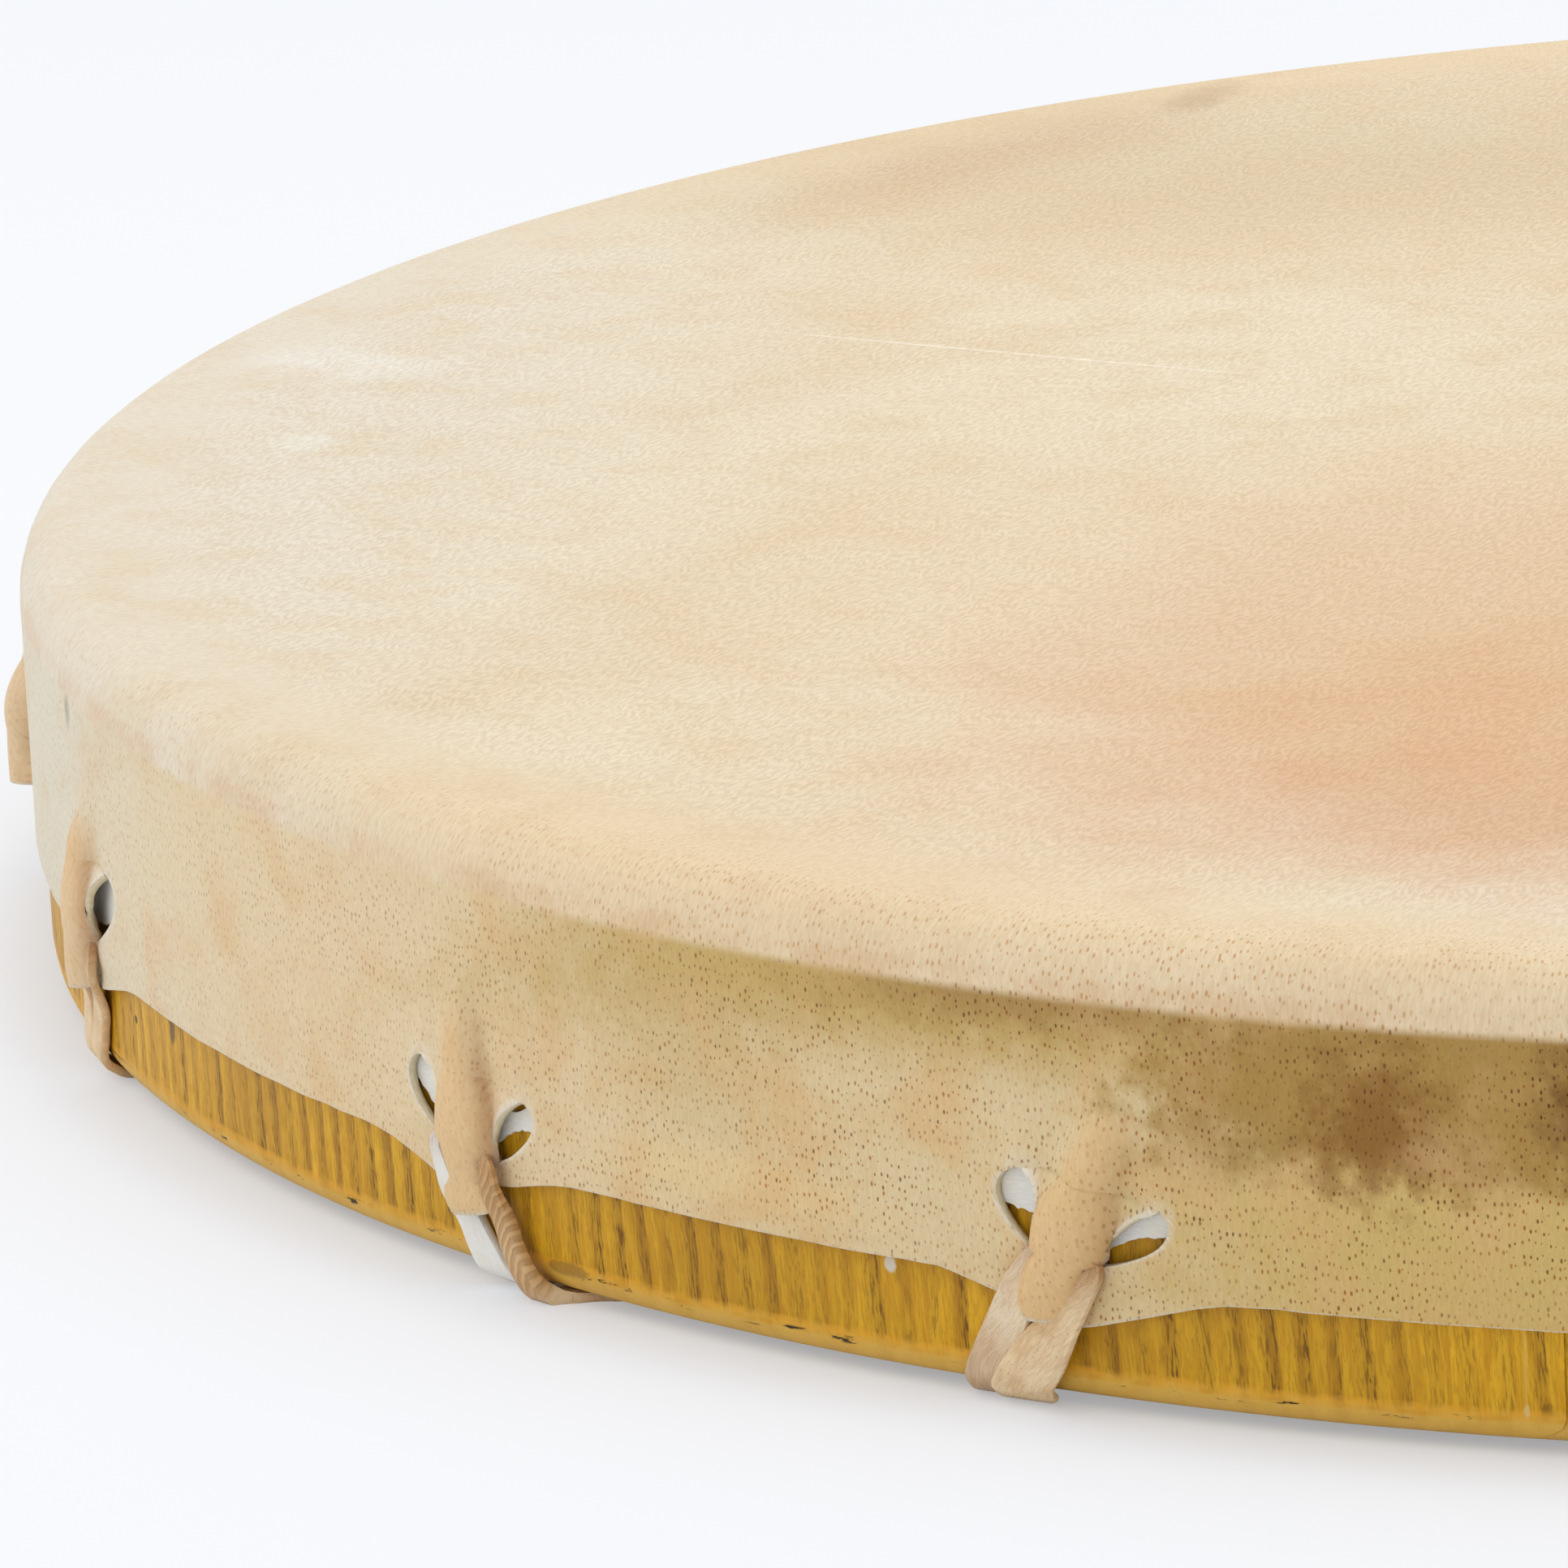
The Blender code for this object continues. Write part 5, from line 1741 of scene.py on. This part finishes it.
class Lace:
    """One rawhide lace: up through an outer lacing point, round the ring and through an inner one."""

    outline: tuple[Pair, ...] = (
        (-0.90, 1.0), (-0.45, 1.0), (0.0, 1.0), (0.45, 1.0), (0.90, 1.0), (1.0, 0.45), (1.0, -0.45),
        (0.90, -1.0), (0.45, -1.0), (0.0, -1.0), (-0.45, -1.0), (-0.90, -1.0), (-1.0, -0.45), (-1.0, 0.45),
    )
    flesh_shown: dict[Strand, float] = {Strand.FLAT: 0.0, Strand.PALE: 1.0, Strand.TORN: 0.2, Strand.ROPED: 0.0}
    damp_shown: dict[Strand, tuple[float, ...]] = {
        Strand.FLAT: (0.8, 0.25, 0.0),
        Strand.PALE: (0.4, 0.05, 0.0),
        Strand.TORN: (0.25, 0.0, 0.0, 0.05, 0.55),
        Strand.ROPED: (0.9, 0.55, 0.2, 0.0, 0.15),
    }
    rope_thickness: float = 0.0023
    lowest: float = -0.78
    floor_clearance: float = 0.00002
    back_gap: float = 0.00006
    back_thickness: float = 0.00048
    back_steps: tuple[int, int] = (44, 5)
    curve_step: float = 0.0008
    curve_steps: int = 6

    def __init__(self, arm: int, side: int, lacing: LacingPoints, material: bpy.types.Material) -> None:
        """Takes the lace's arm, its side of the arm, the lacing points and its material."""
        self.arm = arm
        self.side = side
        self.outer = lacing.points[(arm, "outer", side)]
        self.inner = lacing.points[(arm, "inner", side)]
        self.material = material

    @staticmethod
    def wall(point: LacingPoint, place: float, height: float, lift: float, width: float, **worn: float) -> Section:
        """A section on the hoop's wall.

        Args:
            point: The lacing point.
            place: Its place beside the tongue's middle, in millimetres.
            height: Its height above the hoop's lower edge, in millimetres.
            lift: How far its middle stands off the hoop, in millimetres.
            width: Its width in millimetres.
            worn: Its wear, such as flesh or damp.

        Returns:
            The section.
        """
        turned = point.angle + place * MILLI / SIZES.hoop_radius
        middle = polar(SIZES.hoop_radius + lift * MILLI, turned, SIZES.ground_to_hoop + height * MILLI)
        return Section(middle, polar(1.0, turned, 0.0), width * MILLI, **worn)

    def strand(self, point: LacingPoint, side: int) -> list[Section]:
        """A lace from behind a tongue, out through one slit and down round the hoop's lower edge.

        Args:
            point: The lacing point.
            side: Which slit, -1 for the left one.

        Returns:
            Its sections.
        """
        path = point.strand(side)
        foot = point.slit(side).foot
        dip = point.dip(side)
        flesh = self.flesh_shown[path.kind]
        damp_rows = self.damp_shown[path.kind]
        roped = path.kind is Strand.ROPED
        thick = self.rope_thickness if roped else SIZES.lace_thickness
        half = thick / 2 / MILLI
        hoop_lift = SIZES.fit_gap / MILLI + half
        skin_lift = (2 * SIZES.fit_gap + SIZES.skin) / MILLI + half
        found = [
            self.wall(point, foot[0] * 0.35, foot[1] + 3.4, 2.2, 2.4, flesh=0.9),
            self.wall(point, foot[0] - side * 1.7, foot[1] + 1.0, 1.7, 1.4, flesh=0.6, damp=0.4),
        ]
        rows = path.rows
        for index, (place, height, width) in enumerate(rows):
            over = smooth(height, dip - 2.6, dip + 0.6)
            lift = blend(hoop_lift, skin_lift + 0.25, over) + path.front * smooth(height, 12.0, 6.0)
            damp = damp_rows[min(index, len(damp_rows) - 1)]
            made = self.wall(point, place, height, lift, width, flesh=flesh, damp=damp, rope=float(roped))
            made.thickness = blend(SIZES.lace_thickness, thick, min(index / 2, 1.0))
            if index:
                above, below = rows[index - 1], rows[min(index + 1, len(rows) - 1)]
                slope = (below[0] - above[0]) / (above[1] - below[1])
                level = slope * smooth(height, 7.0, 0.5)
                turned = math.atan2(made.face.y, made.face.x) + math.pi / 2
                made.across = (polar(1.0, turned, 0.0) + Vector((0, 0, slope - level))).normalized()
                made.width *= math.hypot(1.0, level)
            found.append(made)
        place, _, width = rows[-1]
        lean = (rows[-1][0] - rows[-2][0]) / (rows[-2][1] - rows[-1][1])
        bend = SIZES.foot_round / MILLI + hoop_lift + path.front * 0.5
        for turn in (48, 72, 96):
            angle = math.radians(turn)
            run = bend * (angle - math.radians(35)) * 0.9
            inward = bend * math.cos(angle) - SIZES.foot_round / MILLI
            down = max(SIZES.foot_round / MILLI - bend * math.sin(angle), self.lowest)
            wide = blend(width * math.hypot(1.0, lean), SIZES.lace_width / MILLI, smooth(turn, 40, 96))
            made = self.wall(point, place + lean * run, down, inward, wide, flesh=flesh, damp=found[-1].damp)
            turned = point.angle + (place + lean * run) * MILLI / SIZES.hoop_radius
            made.face = polar(math.cos(angle), turned, -math.sin(angle))
            made.across = polar(1.0, turned + math.pi / 2, 0.0)
            made.thickness = blend(thick, SIZES.lace_thickness, smooth(turn, 30, 90))
            found.append(made)
        turned = point.angle + (place + lean * 8.0) * MILLI / SIZES.hoop_radius
        inside = SIZES.hoop_radius - SIZES.hoop_wall + SIZES.foot_round
        under_hoop = polar(inside, turned, SIZES.lace_thickness / 2 + self.floor_clearance)
        across = polar(1.0, turned + math.pi / 2, 0.0)
        return found + [Section(under_hoop, Vector((0, 0, -1)), SIZES.lace_width, across=across)]

    def loop(self, point: LacingPoint) -> list[Section]:
        """The whole of the lace at one lacing point, from left to right."""
        left = self.strand(point, -1)
        right = self.strand(point, 1)
        middle = (point.slits[0].foot[0] + point.slits[1].foot[0]) / 2
        height = max(point.slits[0].foot[1], point.slits[1].foot[1]) + 4.0
        return left[::-1] + [self.wall(point, middle, height, 2.3, 2.6, flesh=0.9)] + right

    def on_arm(self, along: float, across: float, height: float) -> Vector:
        """The point on the lace's arm, along it from the axis and across it."""
        return Matrix.Rotation(self.arm * math.tau / SIZES.arms, 3, "Z") @ Vector((along, across, height))

    def lanes(self, lane: float, upper: bool, start_point: Vector, end: float) -> list[Section]:
        """The lace's run along its arm, from where it joins the bundle to its inner end.

        Args:
            lane: Its distance from the arm's middle, in lanes.
            upper: Whether it lies in the upper layer.
            start_point: Where it comes from under the hoop.
            end: How far from the axis the run ends.

        Returns:
            Its sections.
        """
        level = SIZES.grip_level + (SIZES.layer if upper else -SIZES.layer)
        across = self.side * lane * SIZES.lane
        join = (SIZES.grip_end if upper else SIZES.knot_end) + SIZES.bundle_run
        start = Matrix.Rotation(-self.arm * math.tau / SIZES.arms, 3, "Z") @ start_point
        turn = abs(math.atan2(start.y - across, start.x - join))
        join += (1.5 - lane) * SIZES.lane * math.tan(turn / 2)
        bend = self.on_arm(join, across, level)
        way = Vector((*start_point.xy, level)) - bend
        found = []
        for share in (0.93, 0.7, 0.45, 0.2):
            spot = bend + way * share
            spot.z = blend(level, start_point.z, smooth(share, 0.2, 1.0))
            found.append(spot)
        found.append(bend + way.normalized() * SIZES.lane * 0.8)
        found.append(self.on_arm(join - SIZES.lane * 0.8, across, level))
        run = join - SIZES.lane * 0.8 - end
        found += [self.on_arm(end + run * (1 - share), across, level) for share in (0.33, 0.66, 1.0)]
        return [Section(spot, Vector((0, 0, -1)), SIZES.lace_width) for spot in found]

    def round_ring(self) -> list[Section]:
        """The lace over the ring, round its wire and back below it."""
        across = self.side * SIZES.lane / 2
        place = self.arm * math.tau / SIZES.arms + math.asin(across / (SIZES.ring_radius - SIZES.ring_bend))
        found = []
        for turn in range(68, 293, 28):
            angle = math.radians(turn)
            reach = SIZES.ring_radius + SIZES.ring_bend * math.cos(angle)
            middle = polar(reach, place, SIZES.grip_level + SIZES.ring_bend * math.sin(angle))
            found.append(Section(middle, polar(-math.cos(angle), place, -math.sin(angle)), SIZES.lace_width))
        return found

    def sections(self) -> list[Section]:
        """All the lace's sections in order."""
        outer = self.loop(self.outer)
        inner = self.loop(self.inner)
        if self.side > 0:
            outer.reverse()
            inner.reverse()
        ring_side = SIZES.grip_start - 0.001
        cut_end = self.lanes(1.5, True, outer[0].middle, SIZES.lace_end)
        to_ring = self.lanes(0.5, True, outer[-1].middle, ring_side)
        from_ring = self.lanes(0.5, False, inner[-1].middle, ring_side)
        last_end = self.lanes(1.5, False, inner[0].middle, SIZES.lace_end)
        second = from_ring[::-1] + inner[::-1] + last_end
        for section in second:
            section.face = -section.face
        return cut_end[::-1] + outer + to_ring + self.round_ring() + second

    def build(self) -> bpy.types.Object:
        """Builds the lace as a flat tube through its sections, with its pale back in the slits."""
        fine = self.smoothed(self.sections())
        runs = [0.0]
        rings = []
        for index, section in enumerate(fine):
            if index:
                runs.append(runs[-1] + (section.middle - fine[index - 1].middle).length)
            along = (fine[min(index + 1, len(fine) - 1)].middle - fine[max(index - 1, 0)].middle).normalized()
            square = along.cross(section.face).normalized()
            if section.across is not None:
                square = section.across if section.across.dot(square) > 0 else -section.across
            face = square.cross(along).normalized()
            ring = []
            for wide, thick in self.outline:
                rounder = blend(1.0, 1 / math.hypot(wide, thick), section.rope)
                spot = section.middle + square * wide * rounder * section.width / 2
                spot += face * thick * rounder * section.thickness / 2
                spot.z = max(spot.z, self.floor_clearance)
                ring.append(spot)
            rings.append(ring)
        shape = loft(rings)
        for name in ("flesh", "damp", "rope"):
            shape.verts.layers.float.new(name)
        worn = {name: shape.verts.layers.float[name] for name in ("flesh", "damp", "rope")}
        count = len(self.outline) + 1
        for index, vert in enumerate(shape.verts):
            for name, layer in worn.items():
                vert[layer] = getattr(fine[index // count], name)
        laid = shape.loops.layers.uv.new("run")
        shape.verts.index_update()
        for face in shape.faces:
            for loop in face.loops:
                row, column = divmod(loop.vert.index, count)
                wide = self.outline[column % len(self.outline)][0]
                loop[laid].uv = (runs[row], wide * fine[row].width / 2)
        weld(shape)
        for point in (self.outer, self.inner):
            self._add_back(shape, point, worn["flesh"], laid)
        name = f"{self.arm + 1}_{'left' if self.side < 0 else 'right'}"
        return finish_piece(shape, "thong_" + name, "lace_" + name, [self.material], 45)

    @staticmethod
    def _add_back(shape: bmesh.types.BMesh, point: LacingPoint, flesh: object, laid: object) -> None:
        """Adds the pale back of the lace, spread flat on the hoop behind the slits."""
        across, tall = Lace.back_steps
        made = bmesh.ops.create_grid(shape, x_segments=across, y_segments=tall, size=1.0)["verts"]
        low, high = point.back_low, point.back_high
        places = {}
        for vert in made:
            share, rise = vert.co.x / 2 + 0.5, vert.co.y / 2 + 0.5
            place = blend(low[0][0] + 0.2, low[-1][0] - 0.2, share)
            ragged = 0.28 * noise.fractal(Vector((place * 3.1, point.angle * 9, 0.0)), 0.8, 2.2, 3)
            bottom = read_table(low, place)[0] + ragged
            height = blend(bottom, max(read_table(high, place)[0], bottom + 0.8), rise)
            turned = point.angle + place * MILLI / SIZES.hoop_radius
            vert.co = polar(SIZES.hoop_radius + Lace.back_gap, turned, SIZES.ground_to_hoop + height * MILLI)
            vert[flesh] = 1.0
            places[vert] = (place * MILLI, height * MILLI)
        faces = list({face for vert in made for face in vert.link_faces})
        for face in faces:
            for loop in face.loops:
                loop[laid].uv = places[loop.vert]
        bmesh.ops.recalc_face_normals(shape, faces=faces)
        if faces[0].normal.dot(faces[0].calc_center_median()) < 0:
            bmesh.ops.reverse_faces(shape, faces=faces)
        grown = bmesh.ops.extrude_face_region(shape, geom=faces, use_keep_orig=True)["geom"]
        for item in grown:
            if isinstance(item, bmesh.types.BMVert):
                item.co = item.co + polar(Lace.back_thickness, math.atan2(item.co.y, item.co.x), 0.0)
        bmesh.ops.reverse_faces(shape, faces=faces)

    def smoothed(self, given: list[Section]) -> list[Section]:
        """More sections on a smooth curve through the given ones.

        Args:
            given: The sections that the lace is drawn through.

        Returns:
            Sections about a millimetre apart near the hoop, and farther apart on straight runs.
        """
        found = []
        for index in range(len(given) - 1):
            first, second = given[index], given[index + 1]
            before, after = given[max(index - 1, 0)], given[min(index + 2, len(given) - 1)]
            length = (second.middle - first.middle).length
            steps = max(1, min(self.curve_steps, round(length / self.curve_step)))
            out = (second.middle - before.middle).normalized() * length / 3
            back = (first.middle - after.middle).normalized() * length / 3
            for step in range(steps):
                t = step / steps
                s = 1 - t
                middle = first.middle * s**3 + second.middle * t**3
                middle = middle + (first.middle + out) * 3 * s * s * t + (second.middle + back) * 3 * s * t * t
                made = Section(middle, first.face.lerp(second.face, t).normalized(), 0.0)
                for name in ("width", "thickness", "flesh", "damp", "rope"):
                    setattr(made, name, blend(getattr(first, name), getattr(second, name), t))
                if first.across is not None and second.across is not None:
                    made.across = first.across.lerp(second.across, t).normalized()
                found.append(made)
        found.append(given[-1])
        return found


@dataclass(frozen=True)
class Winding:
    """A strip wound round a bundle of laces, each turn lapping the one before.

    Attributes:
        name: The start of the piece's name, before the arm's number.
        node: The start of its solid's name.
        ends: Its inner and outer ends, from the axis.
        level: The height of the bundle's middle.
        half_depth: Half the bundle's depth with its clearance.
        wall: The thickness of the strip's turns together.
        strip: The step from one turn to the next.
        rows_each: Rows of faces in each turn's width.
    """

    name: str
    node: str
    ends: Pair
    level: float
    half_depth: float
    wall: float
    strip: float
    rows_each: int


class CrossGrip:
    """The middle of the cross: the ring, four wound wraps and four small ties."""

    ring_steps: int = 96
    wire_steps: int = 20
    round_steps: int = 56
    end_round: float = 0.0006
    wrap: Winding = Winding(
        "suede_wrap_", "grip_wrap_", (SIZES.grip_start, SIZES.grip_end), SIZES.grip_level,
        SIZES.lace_thickness + SIZES.fit_gap * 1.5, wall=0.0016, strip=0.0062, rows_each=12,
    )
    tie: Winding = Winding(
        "thong_tie_", "arm_tie_", (SIZES.knot_start, SIZES.knot_end), SIZES.grip_level - SIZES.layer,
        SIZES.lace_thickness / 2 + SIZES.fit_gap, wall=0.0011, strip=0.0024, rows_each=8,
    )

    def __init__(self) -> None:
        """Makes the bindings' finish."""
        self.suede = SuedeStrip().material()

    def build_ring(self) -> bpy.types.Object:
        """Builds the ring by turning a circle about the drum's axis."""
        shape = bmesh.new()
        wire = SIZES.ring_wire / 2
        circle = [
            Vector((SIZES.ring_radius + wire * math.cos(math.tau * i / self.wire_steps), 0,
                    SIZES.grip_level + wire * math.sin(math.tau * i / self.wire_steps)))
            for i in range(self.wire_steps)
        ]
        turn_profile(shape, circle, True, self.ring_steps, math.tau)
        bmesh.ops.recalc_face_normals(shape, faces=shape.faces)
        return finish_piece(shape, "steel_ring", "grip_ring", [WornSteel().material()])

    def build_binding(self, arm: int, winding: Winding) -> bpy.types.Object:
        """Builds one binding.

        Args:
            arm: The arm that it is on.
            winding: How it is wound.

        Returns:
            The binding's object.
        """
        ends, strip = winding.ends, winding.strip
        half_width = 1.5 * SIZES.lane + SIZES.lace_width / 2 + SIZES.fit_gap
        rows = round((ends[1] - ends[0]) / strip * winding.rows_each)
        shares = [number / self.round_steps for number in range(self.round_steps)]
        oblong = [self._oblong(share, half_width, winding.half_depth) for share in shares]
        turned = Matrix.Rotation(arm * math.tau / SIZES.arms, 3, "Z")
        phase = Random(arm).random()
        outer_rings, raised_rows = [], []
        for row in range(rows + 1):
            along = blend(ends[0], ends[1], row / rows)
            ring, raised = [], []
            for number, (place, way) in enumerate(oblong):
                wound = (along / strip + shares[number] + phase) % 1.0
                lap = smooth(wound, 0.0, 0.14) * (1 - 0.6 * wound)
                close = min(
                    smooth(along, ends[0], ends[0] + self.end_round), smooth(along, ends[1], ends[1] - self.end_round)
                )
                rough = 0.03 * noise.noise(Vector((along * 500, number * 0.7, arm)))
                spot = place + way * (winding.wall * (0.52 + 0.44 * lap * close + rough))
                ring.append(turned @ Vector((along, spot.x, winding.level + spot.y)))
                raised.append(lap * close)
            outer_rings.append(ring)
            raised_rows.append(raised)
        inner = [
            [turned @ Vector((along, spot.x, winding.level + spot.y)) for spot, _ in oblong]
            for along in (ends[1], ends[0])
        ]
        shape = loft(outer_rings + inner + outer_rings[:1])
        layer = shape.verts.layers.float.new("raised")
        for index, vert in enumerate(shape.verts):
            row, column = divmod(index, self.round_steps + 1)
            if row <= rows:
                vert[layer] = raised_rows[row][column % self.round_steps]
        bmesh.ops.remove_doubles(shape, verts=shape.verts, dist=1e-7)
        bmesh.ops.recalc_face_normals(shape, faces=shape.faces)
        number = str(arm + 1)
        return finish_piece(shape, winding.name + number, winding.node + number, [self.suede])

    @staticmethod
    def _oblong(share: float, half_width: float, half_depth: float) -> tuple[Vector, Vector]:
        """A place on a flat oblong with round ends, and the way out from it.

        Args:
            share: The share of the way round.
            half_width: Half its width.
            half_depth: Half its depth, which its ends are rounded to.

        Returns:
            The place and the direction.
        """
        straight = 2 * (half_width - half_depth)
        curve = math.pi * half_depth * 2.2
        whole = 2 * (straight + curve)
        run = share * whole
        if run < straight:
            return Vector((half_width - half_depth - run, half_depth)), Vector((0.0, 1.0))
        if run < straight + curve:
            angle = math.pi / 2 + math.pi * (run - straight) / curve
            centre = -(half_width - half_depth)
        elif run < 2 * straight + curve:
            return Vector((-(half_width - half_depth) + run - straight - curve, -half_depth)), Vector((0.0, -1.0))
        else:
            angle = -math.pi / 2 + math.pi * (run - 2 * straight - curve) / curve
            centre = half_width - half_depth
        way = Vector((math.cos(angle), math.sin(angle)))
        return Vector((centre, 0.0)) + way * half_depth, way

    def build(self) -> list[bpy.types.Object]:
        """Builds the ring, the wraps and the ties."""
        ring = self.build_ring()
        bindings = [self.build_binding(arm, way) for arm in range(SIZES.arms) for way in (self.wrap, self.tie)]
        return [ring, *bindings]


@dataclass(frozen=True)
class Studio:
    """The camera at the photograph's angle, the pale floor and soft plain light."""

    lens: float = 260.87
    sensor: float = 36.0
    distance: float = 1.32587
    height: float = 0.35785
    bearing: float = math.radians(-55.0)
    pitch: float = math.radians(14.687)
    yaw: float = math.radians(-6.974)
    roll: float = math.radians(-2.926)
    floor_size: float = 30.0
    sky: float = 0.76
    backdrop: str = "F3F5F9"

    def build_camera(self) -> bpy.types.Object:
        """Builds the camera, aimed a little left of the drum's middle."""
        turned = Matrix.Rotation(self.bearing + math.radians(90), 3, "Z")
        level = math.cos(self.pitch)
        ahead = Vector((math.sin(self.yaw) * level, math.cos(self.yaw) * level, -math.sin(self.pitch)))
        right = Vector((math.cos(self.yaw), -math.sin(self.yaw), 0.0))
        above = right.cross(ahead)
        across = right * math.cos(self.roll) + above * math.sin(self.roll)
        upward = -right * math.sin(self.roll) + above * math.cos(self.roll)
        axes = Matrix((turned @ across, turned @ upward, turned @ -ahead)).transposed()
        data = bpy.data.cameras.new("camera")
        data.lens = self.lens
        data.sensor_width = self.sensor
        data.clip_end = 100.0
        camera = new_object("camera", data)
        camera.matrix_world = Matrix.Translation(polar(self.distance, self.bearing, self.height)) @ axes.to_4x4()
        bpy.context.scene.camera = camera
        return camera

    def build_lamp(
        self, name: str, bearing: float, reach: float, height: float, size: float, power: float
    ) -> bpy.types.Object:
        """Builds a square soft lamp aimed at the drum.

        Args:
            name: The lamp's name.
            bearing: Its direction from the drum in degrees.
            reach: Its distance over the ground.
            height: Its height.
            size: Its side.
            power: Its power in watts.

        Returns:
            The lamp's object.
        """
        data = bpy.data.lights.new(name, "AREA")
        data.size = size
        data.energy = power
        lamp = new_object(name, data)
        lamp.location = polar(reach, math.radians(bearing), height)
        lamp.rotation_euler = (-lamp.location).to_track_quat("-Z", "Y").to_euler()
        return lamp

    def build_sky(self) -> None:
        """Builds the world: soft white light, and a pale backdrop where it is seen."""
        world = bpy.data.worlds.new("studio")
        bpy.context.scene.world = world
        world.use_nodes = True
        b = Bench(world.node_tree)
        ground = world.node_tree.nodes["Background"]
        ground.inputs["Color"].default_value = (1.0, 1.0, 1.0, 1.0)
        ground.inputs["Strength"].default_value = self.sky
        seen = b.add("Background")
        b.feed(seen.inputs["Color"], self.backdrop)
        path = b.add("LightPath")
        share = b.math("MAXIMUM", path.outputs["Is Camera Ray"], path.outputs["Is Glossy Ray"])
        mixed = b.add("MixShader")
        b.feed(mixed.inputs[0], share)
        b.feed(mixed.inputs[1], ground.outputs[0])
        b.feed(mixed.inputs[2], seen.outputs[0])
        b.feed(world.node_tree.nodes["World Output"].inputs[0], mixed.outputs[0])

    def build_floor(self) -> bpy.types.Object:
        """Builds the floor."""
        shape = bmesh.new()
        bmesh.ops.create_grid(shape, x_segments=1, y_segments=1, size=self.floor_size / 2)
        floor = new_object("floor", new_mesh(shape, "floor", [PaleGround().material()]))
        return floor

    def build(self) -> None:
        """Builds the whole studio."""
        bpy.context.scene.view_settings.view_transform = "Standard"
        self.build_camera()
        self.build_sky()
        self.build_floor()
        self.build_lamp("overhead", bearing=60.0, reach=0.5, height=1.6, size=1.2, power=7.4)
        self.build_lamp("fill", bearing=-142.0, reach=1.5, height=0.9, size=1.5, power=5.3)


def main() -> None:
    """Builds the studio and every piece of the drum, in order."""
    logging.basicConfig(level=logging.INFO, format="%(name)s: %(message)s")
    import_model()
    Studio().build()
    lacing = LacingPoints()
    Hoop().build()
    Drumhead(lacing).build()
    thong = LaceHide().material()
    for arm in range(SIZES.arms):
        for side in (-1, 1):
            Lace(arm, side, lacing, thong).build()
    CrossGrip().build()


if __name__ == "__main__":
    main()
